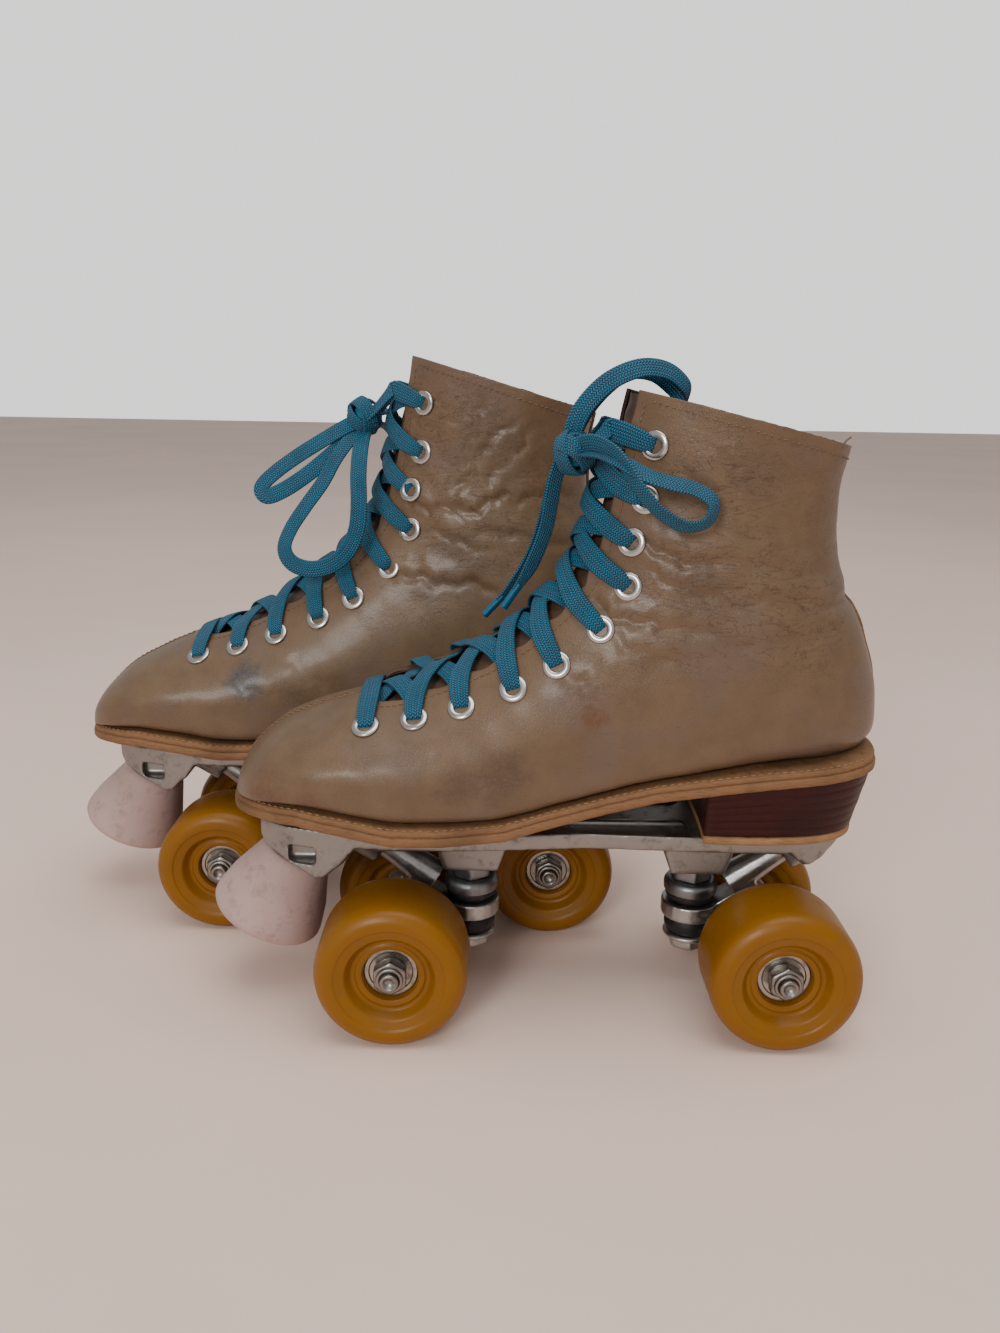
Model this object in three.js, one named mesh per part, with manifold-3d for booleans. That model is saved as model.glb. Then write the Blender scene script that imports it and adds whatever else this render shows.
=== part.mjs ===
// A pair of quad roller skates: leather boots on cast plates, two steering trucks and four wheels each.
// Millimetres, +Z up. Toes point to -X. The left skate stands at -Y and the right one, mirrored, at +Y.
import * as THREE from 'three';
import { mergeVertices } from 'three/addons/utils/BufferGeometryUtils.js';
import { ParametricGeometry } from 'three/addons/geometries/ParametricGeometry.js';
import Module from 'manifold-3d';

const wasm = await Module();
wasm.setup();
const { Manifold, Mesh: SolidMesh } = wasm;

// ---- driving dimensions ----
const GAP = 0.3; // clearance between touching pieces
const WHEEL_RADIUS = 31.5;
const WHEEL_WIDTH = 35.6;
const WHEEL_SIDES = 16;
const WHEELBASE = 161.2;
const TRACK = 71.6; // between the middles of the two wheels of a truck
const BEARING_OD = 22;
const BEARING_BORE = 8;
const BEARING_WIDTH = 7;
const BEARING_RECESS = 8.3; // from the wheel's outer face to the bearing's
const PLATE_TOP = WHEEL_RADIUS + 52.5;
const PLATE_THICK = 7;
const PLATE_HALF_WIDTH = 25;
const BOOT_LENGTH = 268;
const BOOT_HEIGHT = 178; // from the plate to the front of the rim
const BOOT_WIDTH = 88;
const UPPER_WALL = 2.6;
const LACING_GAP = 34; // over the instep
const LACING_GAP_TOP = 25;
const SOLE_THICK = 6.5;
const HEEL_LIFT_THICK = 3.6;
const HEEL_FRONT = 46;
const HEEL_HALF_WIDTH = 33.5;
const HEEL_TAPER = 0.93; // the heel's foot as a share of its head
const TONGUE_THICK = 3.6;
const LACE_WIDTH = 8;
const LACE_THICK = 1.4;
const KNOT = [9, 10, 9]; // half sizes of the bow's knot
const KINGPIN_X = 49;
const KINGPIN_RADIUS = 4.7;
const CUSHION_RADIUS = 10.5;
const BOSS_DEPTH = 22.7; // from the plate's top to the foot of a kingpin boss
const RING_RADIUS = 12.6; // the hanger's ring, between the cushions
const RING_HALF = 3.6;
const RING_RISE = 8.4; // from the axle to the ring's middle
const CUP_RISE = 9.6; // from the ring's middle to the cup washer
const AXLE_RADIUS = 4;
const KINGPIN_NUT = 16; // across flats
const AXLE_NUT = 13;
const PIVOT_ANGLE = 36; // degrees, slope of the pivot pin
const TOE_STOP_TILT = 26; // degrees forward of upright
const TOE_STOP_RADIUS = 25;
const STOP_STEM_RADIUS = 6.2;
const STOP_AT = [-120, -7.5]; // where its line starts: x, and height from the plate's top
const PAIR_STEP_X = WHEELBASE - 2 * WHEEL_RADIUS - 5.7; // the right skate stands ahead, its wheels between
const PAIR_STEP_Y = 92;
const RIGHT_INSTEP = 8; // the right boot is laced fuller

const AXLE_Z = WHEEL_RADIUS;
const AXLE_X = WHEELBASE / 2;
// The boot's curves are drawn for a plate top at 84 and for these sizes, and are scaled to the real ones.
const DRAWN_PLATE_TOP = 84;
const SX = BOOT_LENGTH / 268;
const SY = BOOT_WIDTH / 88;
const SZ = BOOT_HEIGHT / 178;

// ---- helpers ----
const rad = (degrees) => THREE.MathUtils.degToRad(degrees);
const lerp = THREE.MathUtils.lerp;

// A geometry as a closed solid, faces outwards.
function solid(geometry) {
  let bare = geometry.clone();
  bare.deleteAttribute('normal');
  bare.deleteAttribute('uv');
  bare = mergeVertices(bare, 1e-4);
  const xyz = bare.attributes.position.array;
  const index = bare.index.array;
  const kept = [];
  let volume = 0;
  const a = new THREE.Vector3();
  const b = new THREE.Vector3();
  const c = new THREE.Vector3();
  for (let i = 0; i < index.length; i += 3) {
    const [p, q, r] = [index[i], index[i + 1], index[i + 2]];
    if (p === q || q === r || r === p) continue;
    kept.push(p, q, r);
    a.fromArray(xyz, 3 * p);
    b.fromArray(xyz, 3 * q);
    c.fromArray(xyz, 3 * r);
    volume += a.dot(b.cross(c));
  }
  if (volume < 0) kept.reverse();
  const mesh = new SolidMesh({
    numProp: 3,
    vertProperties: Float32Array.from(xyz),
    triVerts: Uint32Array.from(kept),
  });
  return new Manifold(mesh);
}

function geometryOf(body) {
  const mesh = body.simplify(0.02).getMesh();
  const geometry = new THREE.BufferGeometry();
  const xyz = new Float32Array((mesh.vertProperties.length / mesh.numProp) * 3);
  for (let i = 0; i < xyz.length / 3; i += 1) {
    for (let k = 0; k < 3; k += 1) xyz[3 * i + k] = mesh.vertProperties[i * mesh.numProp + k];
  }
  geometry.setAttribute('position', new THREE.BufferAttribute(xyz, 3));
  geometry.setIndex(new THREE.BufferAttribute(Uint32Array.from(mesh.triVerts), 1));
  const split = geometry.toNonIndexed();
  split.computeVertexNormals();
  return split;
}

// A solid of revolution. Profile points are [radius, height]; the axis is Z.
function turned(profile, sides, closed = false) {
  const points = profile.map(([r, h]) => new THREE.Vector2(r, h));
  if (closed) points.push(points[0].clone());
  const geometry = new THREE.LatheGeometry(points, sides, Math.PI / sides);
  geometry.rotateX(Math.PI / 2);
  return solid(geometry);
}

// The same with its axis along Y. A flat facet points down.
function turnedY(profile, sides, closed = false) {
  return turned(profile, sides, closed).rotate([90, 0, 0]);
}

function shapeOf(points) {
  return new THREE.Shape(points.map(([x, y]) => new THREE.Vector2(x, y)));
}

// An outline in X and Y, raised from z0 to z1.
function raised(outline, z0, z1) {
  const geometry = new THREE.ExtrudeGeometry(shapeOf(outline), { depth: z1 - z0, bevelEnabled: false });
  geometry.translate(0, 0, z0);
  return solid(geometry);
}

// An outline in X and Z, as wide as twice halfWidth along Y.
function sideways(outline, halfWidth) {
  const depth = 2 * halfWidth;
  const geometry = new THREE.ExtrudeGeometry(shapeOf(outline), { depth, bevelEnabled: false });
  geometry.rotateX(Math.PI / 2);
  geometry.translate(0, halfWidth, 0);
  return solid(geometry);
}

function hexagon(acrossFlats) {
  const r = acrossFlats / Math.sqrt(3);
  return Array.from({ length: 6 }, (_, i) => [r * Math.cos(rad(60 * i)), r * Math.sin(rad(60 * i))]);
}

// Rings of the same number of points, joined into one skin. A flat end closes on its middle.
function lofted(rings) {
  const middle = (ring) => ring.reduce((s, p) => s.add(p), new THREE.Vector3()).divideScalar(ring.length);
  const cap = (ring) => ring.map(() => middle(ring));
  const all = [cap(rings[0]), ...rings, cap(rings[rings.length - 1])];
  const count = rings[0].length;
  const rows = all.length - 1;
  const at = (u, v, target) => {
    target.copy(all[Math.round(v * rows)][Math.round(u * count) % count]);
  };
  return solid(new ParametricGeometry(at, count, rows));
}

// ---- the boot's form ----
// Stations run from the toe to the rim. Each joins a point of the top line to one of the base line,
// with a half width and a squareness (2 is an ellipse).
const STATIONS = [
  { top: [-148, 101.5], base: [-148.3, 99.2], half: 8, square: 2.2 },
  { top: [-146.2, 108], base: [-147.4, 97.6], half: 18, square: 2.2 },
  { top: [-140.5, 116], base: [-143, 98.3], half: 27.5, square: 2.1 },
  { top: [-130, 124.8], base: [-134, 99.4], half: 35.5, square: 2 },
  { top: [-114, 132.2], base: [-118, 100.2], half: 41, square: 1.9 },
  { top: [-98.8, 137.2], base: [-100, 98.2], half: 43.5, square: 1.8 },
  { top: [-82, 142.2], base: [-80, 94.8], half: 44, square: 1.75 },
  { top: [-65, 149], base: [-60, 94.4], half: 43, square: 1.7 },
  { top: [-49, 158], base: [-36, 95.4], half: 40.5, square: 1.7 },
  { top: [-34, 168.5], base: [-8, 102.4], half: 37.5, square: 1.75 },
  { top: [-22, 179.5], base: [26, 110.6], half: 35.5, square: 1.85 },
  { top: [-13, 190.5], base: [70, 117.3], half: 35, square: 1.95 },
  { top: [-7.5, 200], base: [106, 120.3], half: 35, square: 2 },
  { top: [-4.5, 207], base: [117.6, 124], half: 35, square: 2.05 },
  { top: [-2, 214], base: [119.4, 137], half: 34.6, square: 2.1 },
  { top: [-0.5, 221], base: [115.6, 156], half: 33.6, square: 2 },
  { top: [1, 229], base: [106.5, 177], half: 32, square: 2 },
  { top: [3, 238], base: [99, 195], half: 31, square: 2 },
  { top: [5, 248], base: [95.3, 214], half: 31, square: 2.1 },
  { top: [6.8, 256], base: [95, 229], half: 31.6, square: 2.1 },
  { top: [8.5, 264], base: [97.4, 243], half: 32.4, square: 2.1 },
];
const LAST = STATIONS.length - 1;
const THROAT = 5.15; // the station where the lacing gap starts
const EYELET_STATIONS = [5.45, 6.55, 7.6, 8.7, 9.65, 10.75, 12.2, 14.1, 16.1, 18];
const RING = 18;

function scaled([x, z], y = 0) {
  return new THREE.Vector3(x * SX, y * SY, PLATE_TOP + (z - DRAWN_PLATE_TOP) * SZ);
}

// The station at a whole or broken count t, its top pushed up by the boot's instep.
function station(t, instep = 0) {
  const i = Math.min(Math.floor(t), LAST - 1);
  const f = t - i;
  const [a, b] = [STATIONS[i], STATIONS[i + 1]];
  const shaft = THREE.MathUtils.smoothstep(t, 9, LAST);
  const lift = instep * THREE.MathUtils.smoothstep(t, 2, 9) * (1 + 0.6 * shaft);
  const top = scaled(a.top).lerp(scaled(b.top), f);
  top.z += lift;
  const base = scaled(a.base).lerp(scaled(b.base), f);
  base.z += 0.7 * lift * THREE.MathUtils.smoothstep(t, 14, LAST);
  return { top, base, half: SY * lerp(a.half, b.half, f), square: lerp(a.square, b.square, f) };
}

// A point of the boot's skin. angle is 0 on the top line and 180 on the base line; the sole's side is
// squarer than the top. inset moves it inwards. The big toe's side bulges, the other one falls away.
function skin(t, angle, inset, instep) {
  const s = station(t, instep);
  const up = s.top.clone().sub(s.base);
  const length = up.length();
  up.normalize();
  const c = Math.cos(rad(angle));
  const w = Math.sin(rad(angle));
  const waist = lerp(0.36, 0.42, THREE.MathUtils.smoothstep(t, 9, 13));
  const foot = 1 - THREE.MathUtils.smoothstep(t, 9, 13);
  const power = 2 / (c >= 0 ? s.square : s.square + 1.6 * foot);
  const reach = c >= 0 ? (1 - waist) * length - inset : waist * length - inset;
  const height = waist * length + Math.sign(c) * reach * Math.abs(c) ** power;
  const y = Math.sign(w) * (s.half - inset) * Math.abs(w) ** power;
  const lean = 3 * foot * THREE.MathUtils.smoothstep(6 - t, 0, 5);
  return s.base.clone().addScaledVector(up, height).setY(y + lean);
}

function ringAt(t, inset, instep) {
  return Array.from({ length: RING }, (_, i) => skin(t, (360 * i) / RING, inset, instep));
}

// The way out of the skin at a point, from its neighbours.
function outwards(t, angle, instep) {
  const ahead = skin(Math.min(t + 0.2, LAST), angle, 0, instep);
  ahead.sub(skin(Math.max(t - 0.2, 0), angle, 0, instep));
  const round = skin(t, angle + 3, 0, instep).sub(skin(t, angle - 3, 0, instep));
  const normal = ahead.cross(round).normalize();
  const core = station(t, instep);
  const away = skin(t, angle, 0, instep).sub(core.top.clone().add(core.base).multiplyScalar(0.5));
  return normal.dot(away) < 0 ? normal.negate() : normal;
}

// How far the lacing edge lies from the middle: none at the throat, half the gap above it.
function halfGap(t) {
  const rise = THREE.MathUtils.clamp((t - THROAT) / 1.1, 0, 1);
  const width = lerp(LACING_GAP, LACING_GAP_TOP, THREE.MathUtils.smoothstep(t, 8, 15));
  return (width / 2) * Math.sqrt(1 - (1 - rise) ** 2);
}

// How far the eyelets lie from the middle.
function eyeletAcross(t) {
  return halfGap(Math.max(t, THROAT + 0.8)) + lerp(11.5, 8.5, THREE.MathUtils.smoothstep(t, 8, 15));
}

function bootUpper(instep) {
  const outer = Array.from({ length: LAST + 1 }, (_, t) => ringAt(t, 0, instep));
  return lofted(outer).subtract(cavity(UPPER_WALL, instep)).subtract(lacingCutter(instep));
}

// The step from the last station but one to the rim, for what stands out of the boot.
function rimStep(instep) {
  return station(LAST, instep).top.sub(station(LAST - 1, instep).top);
}

// The space inside the boot, at a given distance under its skin, carried on above the rim.
function cavity(inset, instep) {
  const rings = Array.from({ length: LAST - 1 }, (_, k) => ringAt(k + 2, inset, instep));
  const rise = rimStep(instep).multiplyScalar(1.5);
  rings.push(ringAt(LAST, inset, instep).map((p) => p.add(rise)));
  return lofted(rings);
}

function lacingCutter(instep) {
  const rings = [];
  const steps = [THROAT + 0.03, THROAT + 0.12, THROAT + 0.3, THROAT + 0.6, THROAT + 1.1];
  for (let t = Math.ceil(THROAT + 1.2); t <= LAST; t += 1) steps.push(t);
  for (const t of steps) rings.push(gapRing(t, instep));
  const rise = rimStep(instep).multiplyScalar(2);
  rings.push(gapRing(LAST, instep).map((p) => p.add(rise)));
  return lofted(rings);
}

function gapRing(t, instep) {
  const s = station(t, instep);
  const up = s.top.clone().sub(s.base);
  const half = halfGap(t);
  const low = s.base.clone().addScaledVector(up, 0.62);
  const high = s.base.clone().addScaledVector(up, 1.2);
  return [
    low.clone().setY(-half),
    low.clone().setY(half),
    high.clone().setY(half),
    high.clone().setY(-half),
  ];
}

// The tongue lies just inside the lacing edges, from under the vamp to above the rim.
function tongue(instep) {
  const clear = UPPER_WALL + GAP;
  const inside = clear + TONGUE_THICK;
  const outside = clear - 2; // trimmed back to the clearance
  const rings = [];
  for (let t = 5; t <= LAST; t += 1) rings.push(tongueRing(t, outside, inside, instep));
  const rise = rimStep(instep).multiplyScalar(0.4);
  rings.push(tongueRing(LAST, outside, inside, instep).map((p) => p.add(rise)));
  return lofted(rings).intersect(cavity(clear, instep));
}

function tongueRing(t, outside, inside, instep) {
  const spread = 5;
  const widest = tongueAngle(t, instep);
  const angle = (i) => lerp(-widest, widest, i / (spread - 1));
  const front = Array.from({ length: spread }, (_, i) => skin(t, angle(i), outside, instep));
  const back = Array.from({ length: spread }, (_, i) => skin(t, angle(spread - 1 - i), inside, instep));
  return [...front, ...back];
}

// The skin's angle at a given distance from the middle.
function angleAcross(t, y, instep) {
  let low = 0;
  let high = 90;
  for (let i = 0; i < 24; i += 1) {
    const middle = (low + high) / 2;
    if (skin(t, middle, 0, instep).y < y) low = middle;
    else high = middle;
  }
  return (low + high) / 2;
}

function tongueAngle(t, instep) {
  return angleAcross(t, halfGap(Math.max(t, THROAT + 1)) + 7, instep);
}

// ---- sole and heel ----
// The sole's half widths along the foot, from toe to heel.
const SOLE_PLAN = [
  [-151, 0], [-150, 12], [-146, 22.5], [-138, 32], [-126, 40], [-108, 45.6], [-86, 47.6], [-64, 46.5],
  [-40, 43], [-14, 39], [14, 36.4], [44, 36.4], [72, 37.2], [94, 35], [108, 29.5], [116.5, 20.5],
  [120.3, 10], [121.5, 0],
];

function solePlan(inset) {
  const side = SOLE_PLAN.map(([x, y]) => [x * SX, Math.max(0, y * SY - inset)]);
  const lean = (x) => 3 * THREE.MathUtils.smoothstep(-x, 60 * SX, 150 * SX);
  const inner = side.map(([x, y]) => [x, lean(x) + y]);
  const outer = side.map(([x, y]) => [x, lean(x) - y]);
  return [...outer, ...inner.slice(1, -1).reverse()];
}

// The line under the upper, where the sole's top lies.
function underUpper() {
  const line = [];
  for (let t = 1; t <= 13; t += 1) line.push(station(t).base);
  const front = line[0].clone();
  front.x = -153 * SX;
  const back = line[line.length - 1].clone();
  back.x = 124 * SX;
  back.z = line[line.length - 2].z + 1.2;
  return [front, ...line.slice(1, -1), back].map((p) => [p.x, p.z - 1.5 * GAP]);
}

function outsole() {
  const top = underUpper();
  const under = top.map(([x, z]) => [x, Math.max(z - SOLE_THICK, PLATE_TOP + GAP)]).reverse();
  return sideways([...top, ...under], 70).intersect(raised(solePlan(0), PLATE_TOP - 24, PLATE_TOP + 76 * SZ));
}

function soleUnderside(x) {
  const line = underUpper();
  const k = line.findIndex(([px]) => px > x);
  const [a, b] = [line[k - 1], line[k]];
  return lerp(a[1], b[1], (x - a[0]) / (b[0] - a[0])) - SOLE_THICK;
}

function heelPlan(inset) {
  const front = HEEL_FRONT * SX + inset;
  const plan = solePlan(2 + inset).filter(([x]) => x > front + 4);
  const width = HEEL_HALF_WIDTH * SY - inset;
  const [outer, inner] = [plan.filter(([, y]) => y < 0), plan.filter(([, y]) => y >= 0)];
  return [[front, -width], ...outer, ...inner, [front, width]];
}

function heelStack() {
  const low = PLATE_TOP + GAP + HEEL_LIFT_THICK + GAP;
  const xs = [40, 58, 78, 96, 126].map((x) => x * SX);
  const high = xs.map((x) => [x, soleUnderside(Math.min(x, 122 * SX)) - GAP]);
  const block = sideways([[high[0][0], low], [high[4][0], low], ...high.reverse()], 60);
  return block.intersect(tapered(heelPlan(0), low, PLATE_TOP + 36 * SZ, HEEL_TAPER));
}

// A plan that narrows downwards, the front staying upright.
function tapered(plan, z0, z1, share) {
  const front = Math.min(...plan.map(([x]) => x));
  const ring = (z, k) => plan.map(([x, y]) => new THREE.Vector3(front + (x - front) * k, y * k, z));
  return lofted([ring(z0, share), ring(z1, 1.02)]);
}

function heelLift() {
  const plan = heelPlan(0);
  const front = Math.min(...plan.map(([x]) => x));
  const foot = plan.map(([x, y]) => [front + (x - front) * HEEL_TAPER, y * HEEL_TAPER]);
  return raised(foot, PLATE_TOP + GAP, PLATE_TOP + GAP + HEEL_LIFT_THICK);
}

// ---- lace ----
// A flat ribbon along points with given face directions.
function ribbon(points, faces) {
  const rings = points.map((p, i) => {
    const along = points[Math.min(i + 1, points.length - 1)].clone().sub(points[Math.max(i - 1, 0)]);
    along.normalize();
    const face = faces[i].clone().addScaledVector(along, -faces[i].dot(along)).normalize();
    const side = along.clone().cross(face).multiplyScalar(LACE_WIDTH / 2);
    face.multiplyScalar(LACE_THICK / 2);
    const corner = (a, b) => p.clone().addScaledVector(side, a).addScaledVector(face, b);
    return [corner(-1, -1), corner(1, -1), corner(1, 1), corner(-1, 1)];
  });
  return lofted(rings);
}

// From the eyelet of one row, over the gap, to the other row. side is -1 for the outer row.
function strand(from, to, side, lift, instep) {
  const steps = 4;
  const points = [];
  const faces = [];
  for (let i = 0; i <= steps; i += 1) {
    const f = i / steps;
    const t = lerp(from, to, f);
    const reach = angleAcross(t, eyeletAcross(t), instep);
    const angle = side * lerp(reach, -reach, f);
    const out = outwards(t, angle, instep);
    const clear = LACE_THICK / 2 + GAP + 1.4 + lift * Math.sin(Math.PI * f);
    points.push(skin(t, angle, 0, instep).addScaledVector(out, clear));
    faces.push(out);
  }
  return ribbon(points, faces);
}

// A bar across the lowest eyelets, a criss-cross up to the highest ones, and a bar under the knot.
function lacing(instep) {
  const [first, last] = [EYELET_STATIONS[0], EYELET_STATIONS[EYELET_STATIONS.length - 1]];
  const parts = [strand(first, first, -1, 0.4, instep), strand(last, last, -1, 0.4, instep)];
  EYELET_STATIONS.slice(1).forEach((t, k) => {
    parts.push(strand(EYELET_STATIONS[k], t, -1, 0.2, instep));
    parts.push(strand(EYELET_STATIONS[k], t, 1, 2.4, instep));
  });
  return Manifold.union(parts);
}

// Each end of a lace: out of the knot, round its loop, through the knot again and down to its tip.
// Points are in the boot's own axes, y being positive on the big toe's side. face is the way that
// the flat side looks at the start.
const BOWS = {
  left: {
    knot: [-10, -6, 239],
    ends: [
      {
        face: [-1, 0, 0],
        points: [
          [-11, -6, 240], [-11, -8, 248], [-7, -9, 257], [2, -9, 266], [14, -7, 271], [25, -4, 270],
          [33, 0, 264], [34, 6, 259], [30, 11, 264], [22, 12, 269.5], [12, 11, 270], [3, 8, 264], [-5, 4, 255],
          [-10, 0, 246], [-14, -2, 238], [-17, -2, 229], [-18.5, 0, 219], [-20, 1, 209], [-23, 2, 199],
          [-27, 2, 190], [-32, 2, 182],
        ],
      },
      {
        face: [0, -1, 0],
        points: [
          [-10, -11, 241], [-4, -19, 243], [3, -28, 240], [8, -34, 234], [13, -38, 226.5], [20, -39.5, 219.5],
          [29, -40, 215], [37, -40, 217], [38.5, -40, 224], [32, -39, 228.5], [23, -38, 230.5], [14, -36, 233],
          [6, -30, 237], [-1, -21, 239.5], [-8, -11, 239], [-14, 0, 236], [-17, 7, 229], [-19, 10, 219],
          [-21, 11.5, 209], [-24, 12.5, 199], [-28, 13, 190], [-33, 13, 182], [-39, 13.5, 175],
        ],
      },
    ],
  },
  right: {
    knot: [-11.5, 4, 248],
    ends: [
      {
        face: [-0.4, 0, 1],
        points: [
          [-12.5, 6, 247], [-20.5, 8, 243], [-31.5, 9, 236.5], [-43.5, 10, 229], [-54.5, 11, 221],
          [-60.5, 13, 214.5], [-57.5, 15, 210.5], [-49.5, 15, 213.5], [-39.5, 14, 220], [-29.5, 12, 228],
          [-19.5, 9, 237], [-11.5, 3, 246], [-7.5, -6, 250], [-3.5, -15, 250], [1.5, -25, 247],
          [6.5, -33, 241], [10.5, -37.5, 232], [13.5, -39, 221], [15.5, -39.5, 209], [17, -40.5, 197],
          [18.5, -41.5, 185],
        ],
      },
      {
        face: [-1, 0, 0],
        points: [
          [-11.5, 6, 243], [-17.5, 11, 238], [-24.5, 15, 228.5], [-30.5, 18, 217.5], [-38.5, 20, 206.5],
          [-45.5, 21.5, 196], [-48.5, 24, 187], [-44.5, 27, 180.5], [-35.5, 29, 178], [-25.5, 30, 180.5],
          [-17.5, 31, 187.5], [-13, 31, 198], [-12, 29.5, 210], [-12.5, 25.5, 222], [-12.5, 17, 233],
          [-11.5, 7, 241], [-8.5, -4, 244.5], [-4.5, -15, 243], [-1, -26, 239], [1, -33.5, 231],
          [2.5, -37, 220.5], [3.5, -38.5, 209], [4, -40, 198], [4.5, -42, 187],
        ],
      },
    ],
  },
};

// A ribbon that follows a smooth line through the points without twisting.
function looseEnd({ face, points }) {
  const through = points.map(([x, y, z]) => scaled([x, z], y));
  const curve = new THREE.CatmullRomCurve3(through, false, 'centripetal');
  const steps = Math.round(1.3 * points.length);
  const line = Array.from({ length: steps + 1 }, (_, i) => curve.getPoint(i / steps));
  const faces = [];
  let look = new THREE.Vector3(...face);
  line.forEach((p, i) => {
    const along = curve.getTangent(i / steps);
    look = look.clone().addScaledVector(along, -look.dot(along)).normalize();
    faces.push(look);
  });
  return ribbon(line, faces);
}

function laceBow(foot) {
  const { knot, ends } = BOWS[foot];
  const ball = new THREE.SphereGeometry(1, 8, 5);
  ball.scale(KNOT[0] * SX, KNOT[1] * SY, KNOT[2] * SZ);
  const [x, y, z] = knot;
  ball.translate(...scaled([x, z], y));
  return Manifold.union([solid(ball), ...ends.map(looseEnd)]);
}

// ---- plate and toe stop ----
function kingpinBossUnder() {
  return PLATE_TOP - BOSS_DEPTH;
}

// A place on the nose, which keeps its size round the toe stop's line.
function noseX(ahead) {
  return STOP_AT[0] * SX + ahead;
}

// Half widths of the plate along it, as shares of its usual one.
function platePlan() {
  const side = [
    [noseX(-19), 0.5], [noseX(-6), 0.8], [noseX(8), 0.97], [-AXLE_X, 1.15], [-KINGPIN_X, 1.1], [0, 0.9],
    [KINGPIN_X, 1], [AXLE_X, 1.02], [99 * SX, 0.9], [107 * SX, 0.7],
  ];
  const edge = (hand) => side.map(([x, share]) => [x, hand * share * PLATE_HALF_WIDTH]);
  return [...edge(-1), ...edge(1).reverse()];
}

// From the side: a deep nose that holds the toe stop, a straight waist and a deep tail over the pivot.
function solePlate() {
  const under = PLATE_TOP - PLATE_THICK;
  const nose = [
    [-19, PLATE_TOP], [-19, under], [-17, under - 4.4], [5, under - 15.2], [9.5, under - 14.4],
    [18, under - 7], [23, under],
  ].map(([x, z]) => [noseX(x), z]);
  const tail = [
    [84, under], [91, under - 5.5], [95, under - 5], [107, PLATE_TOP - 2], [107, PLATE_TOP],
  ].map(([x, z]) => [x * SX, z]);
  const profile = [...nose, ...tail];
  let plate = sideways(profile, 60).intersect(raised(platePlan(), PLATE_TOP - 34, PLATE_TOP));
  for (const end of [-1, 1]) {
    plate = plate.add(kingpinBoss(end)).add(pivotBoss(end)).subtract(pivotBore(end)).subtract(kingpinBore(end));
    plate = plate.subtract(nosePocket(end));
  }
  return plate.subtract(stopBore());
}

// A pocket in one flank of the nose.
function nosePocket(hand) {
  const [z0, z1] = [PLATE_TOP - 16, PLATE_TOP - 8.5];
  const [y0, y1] = [15, 40].map((y) => hand * y);
  const [x0, x1] = [noseX(-6), noseX(6)];
  return raised([[x0, y0], [x1, y0], [x1, y1], [x0, y1]], z0, z1);
}

function kingpinBoss(end) {
  const under = PLATE_TOP - PLATE_THICK;
  const low = kingpinBossUnder();
  const outline = [[-17, under + 1], [-11.5, low], [11.5, low], [17, under + 1]];
  return sideways(outline.map(([x, z]) => [end * KINGPIN_X + x, z]), 14);
}

function kingpinBore(end) {
  const hole = turned([[0, 0], [KINGPIN_RADIUS + GAP, 0], [KINGPIN_RADIUS + GAP, 20], [0, 20]], 12);
  return hole.translate([end * KINGPIN_X, 0, kingpinBossUnder() - 2]);
}

// The pivot pin's line: from the hanger's ring, outwards and up into the plate.
function pivotLine(along, end) {
  const a = rad(PIVOT_ANGLE);
  return [end * (pivotTip()[0] - along * Math.cos(a)), 0, pivotTip()[1] - along * Math.sin(a)];
}

function pivotTip() {
  return [KINGPIN_X + 45.5, ringMiddle() + 45.5 * Math.tan(rad(PIVOT_ANGLE))];
}

function ringMiddle() {
  return AXLE_Z + RING_RISE;
}

function pivotBoss(end) {
  const boss = turned([[0, 0], [9.5, 0], [11, 18], [0, 18]], 16);
  const placed = boss.rotate([0, end * (90 - PIVOT_ANGLE), 0]).translate(pivotLine(9, end));
  const trim = raised([[-200, -80], [200, -80], [200, 80], [-200, 80]], 20, PLATE_TOP);
  return placed.intersect(trim);
}

function pivotBore(end) {
  const bore = turned([[0, -12], [7.6, -12], [6.6, 10.5], [0, 10.5]], 16);
  return bore.rotate([0, end * (90 - PIVOT_ANGLE), 0]).translate(pivotLine(9, end));
}

// The toe stop's own line, from the plate's nose down and forwards.
function stopFrame(body) {
  return body.rotate([0, 180 + TOE_STOP_TILT, 0]).translate([STOP_AT[0] * SX, 0, PLATE_TOP + STOP_AT[1]]);
}

function stopBore() {
  const r = STOP_STEM_RADIUS + GAP;
  return stopFrame(turned([[0, -20], [r, -20], [r, 20], [0, 20]], 14));
}

function toeStopStem() {
  const r = STOP_STEM_RADIUS;
  const collar = [[r, 11.5], [r + 3, 11.5], [r + 3, 13.6], [r, 13.6]];
  return stopFrame(turned([[0, -3.5], [r, -3.5], ...collar, [r, 30], [0, 30]], 14));
}

function toeStop() {
  const r = TOE_STOP_RADIUS;
  const socket = STOP_STEM_RADIUS + GAP;
  const profile = [
    [socket, 13.6 + GAP], [14, 13.9], [15.6, 15.6], [r * 0.9, 34], [r, 43], [r, 46], [r * 0.93, 48.5],
    [0, 48.5], [0, 30 + GAP], [socket, 30 + GAP],
  ];
  return stopFrame(turned(profile, 18, true));
}

// ---- trucks ----
function kingpin(end) {
  const foot = AXLE_Z - 5.5;
  const profile = [
    [0, foot - 5], [6.5, foot - 5], [6.5, foot], [11, foot], [11, foot + 2], [KINGPIN_RADIUS, foot + 2],
    [KINGPIN_RADIUS, kingpinBossUnder() + 12], [0, kingpinBossUnder() + 12],
  ];
  return turned(profile, 12).translate([end * KINGPIN_X, 0, 0]);
}

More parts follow.
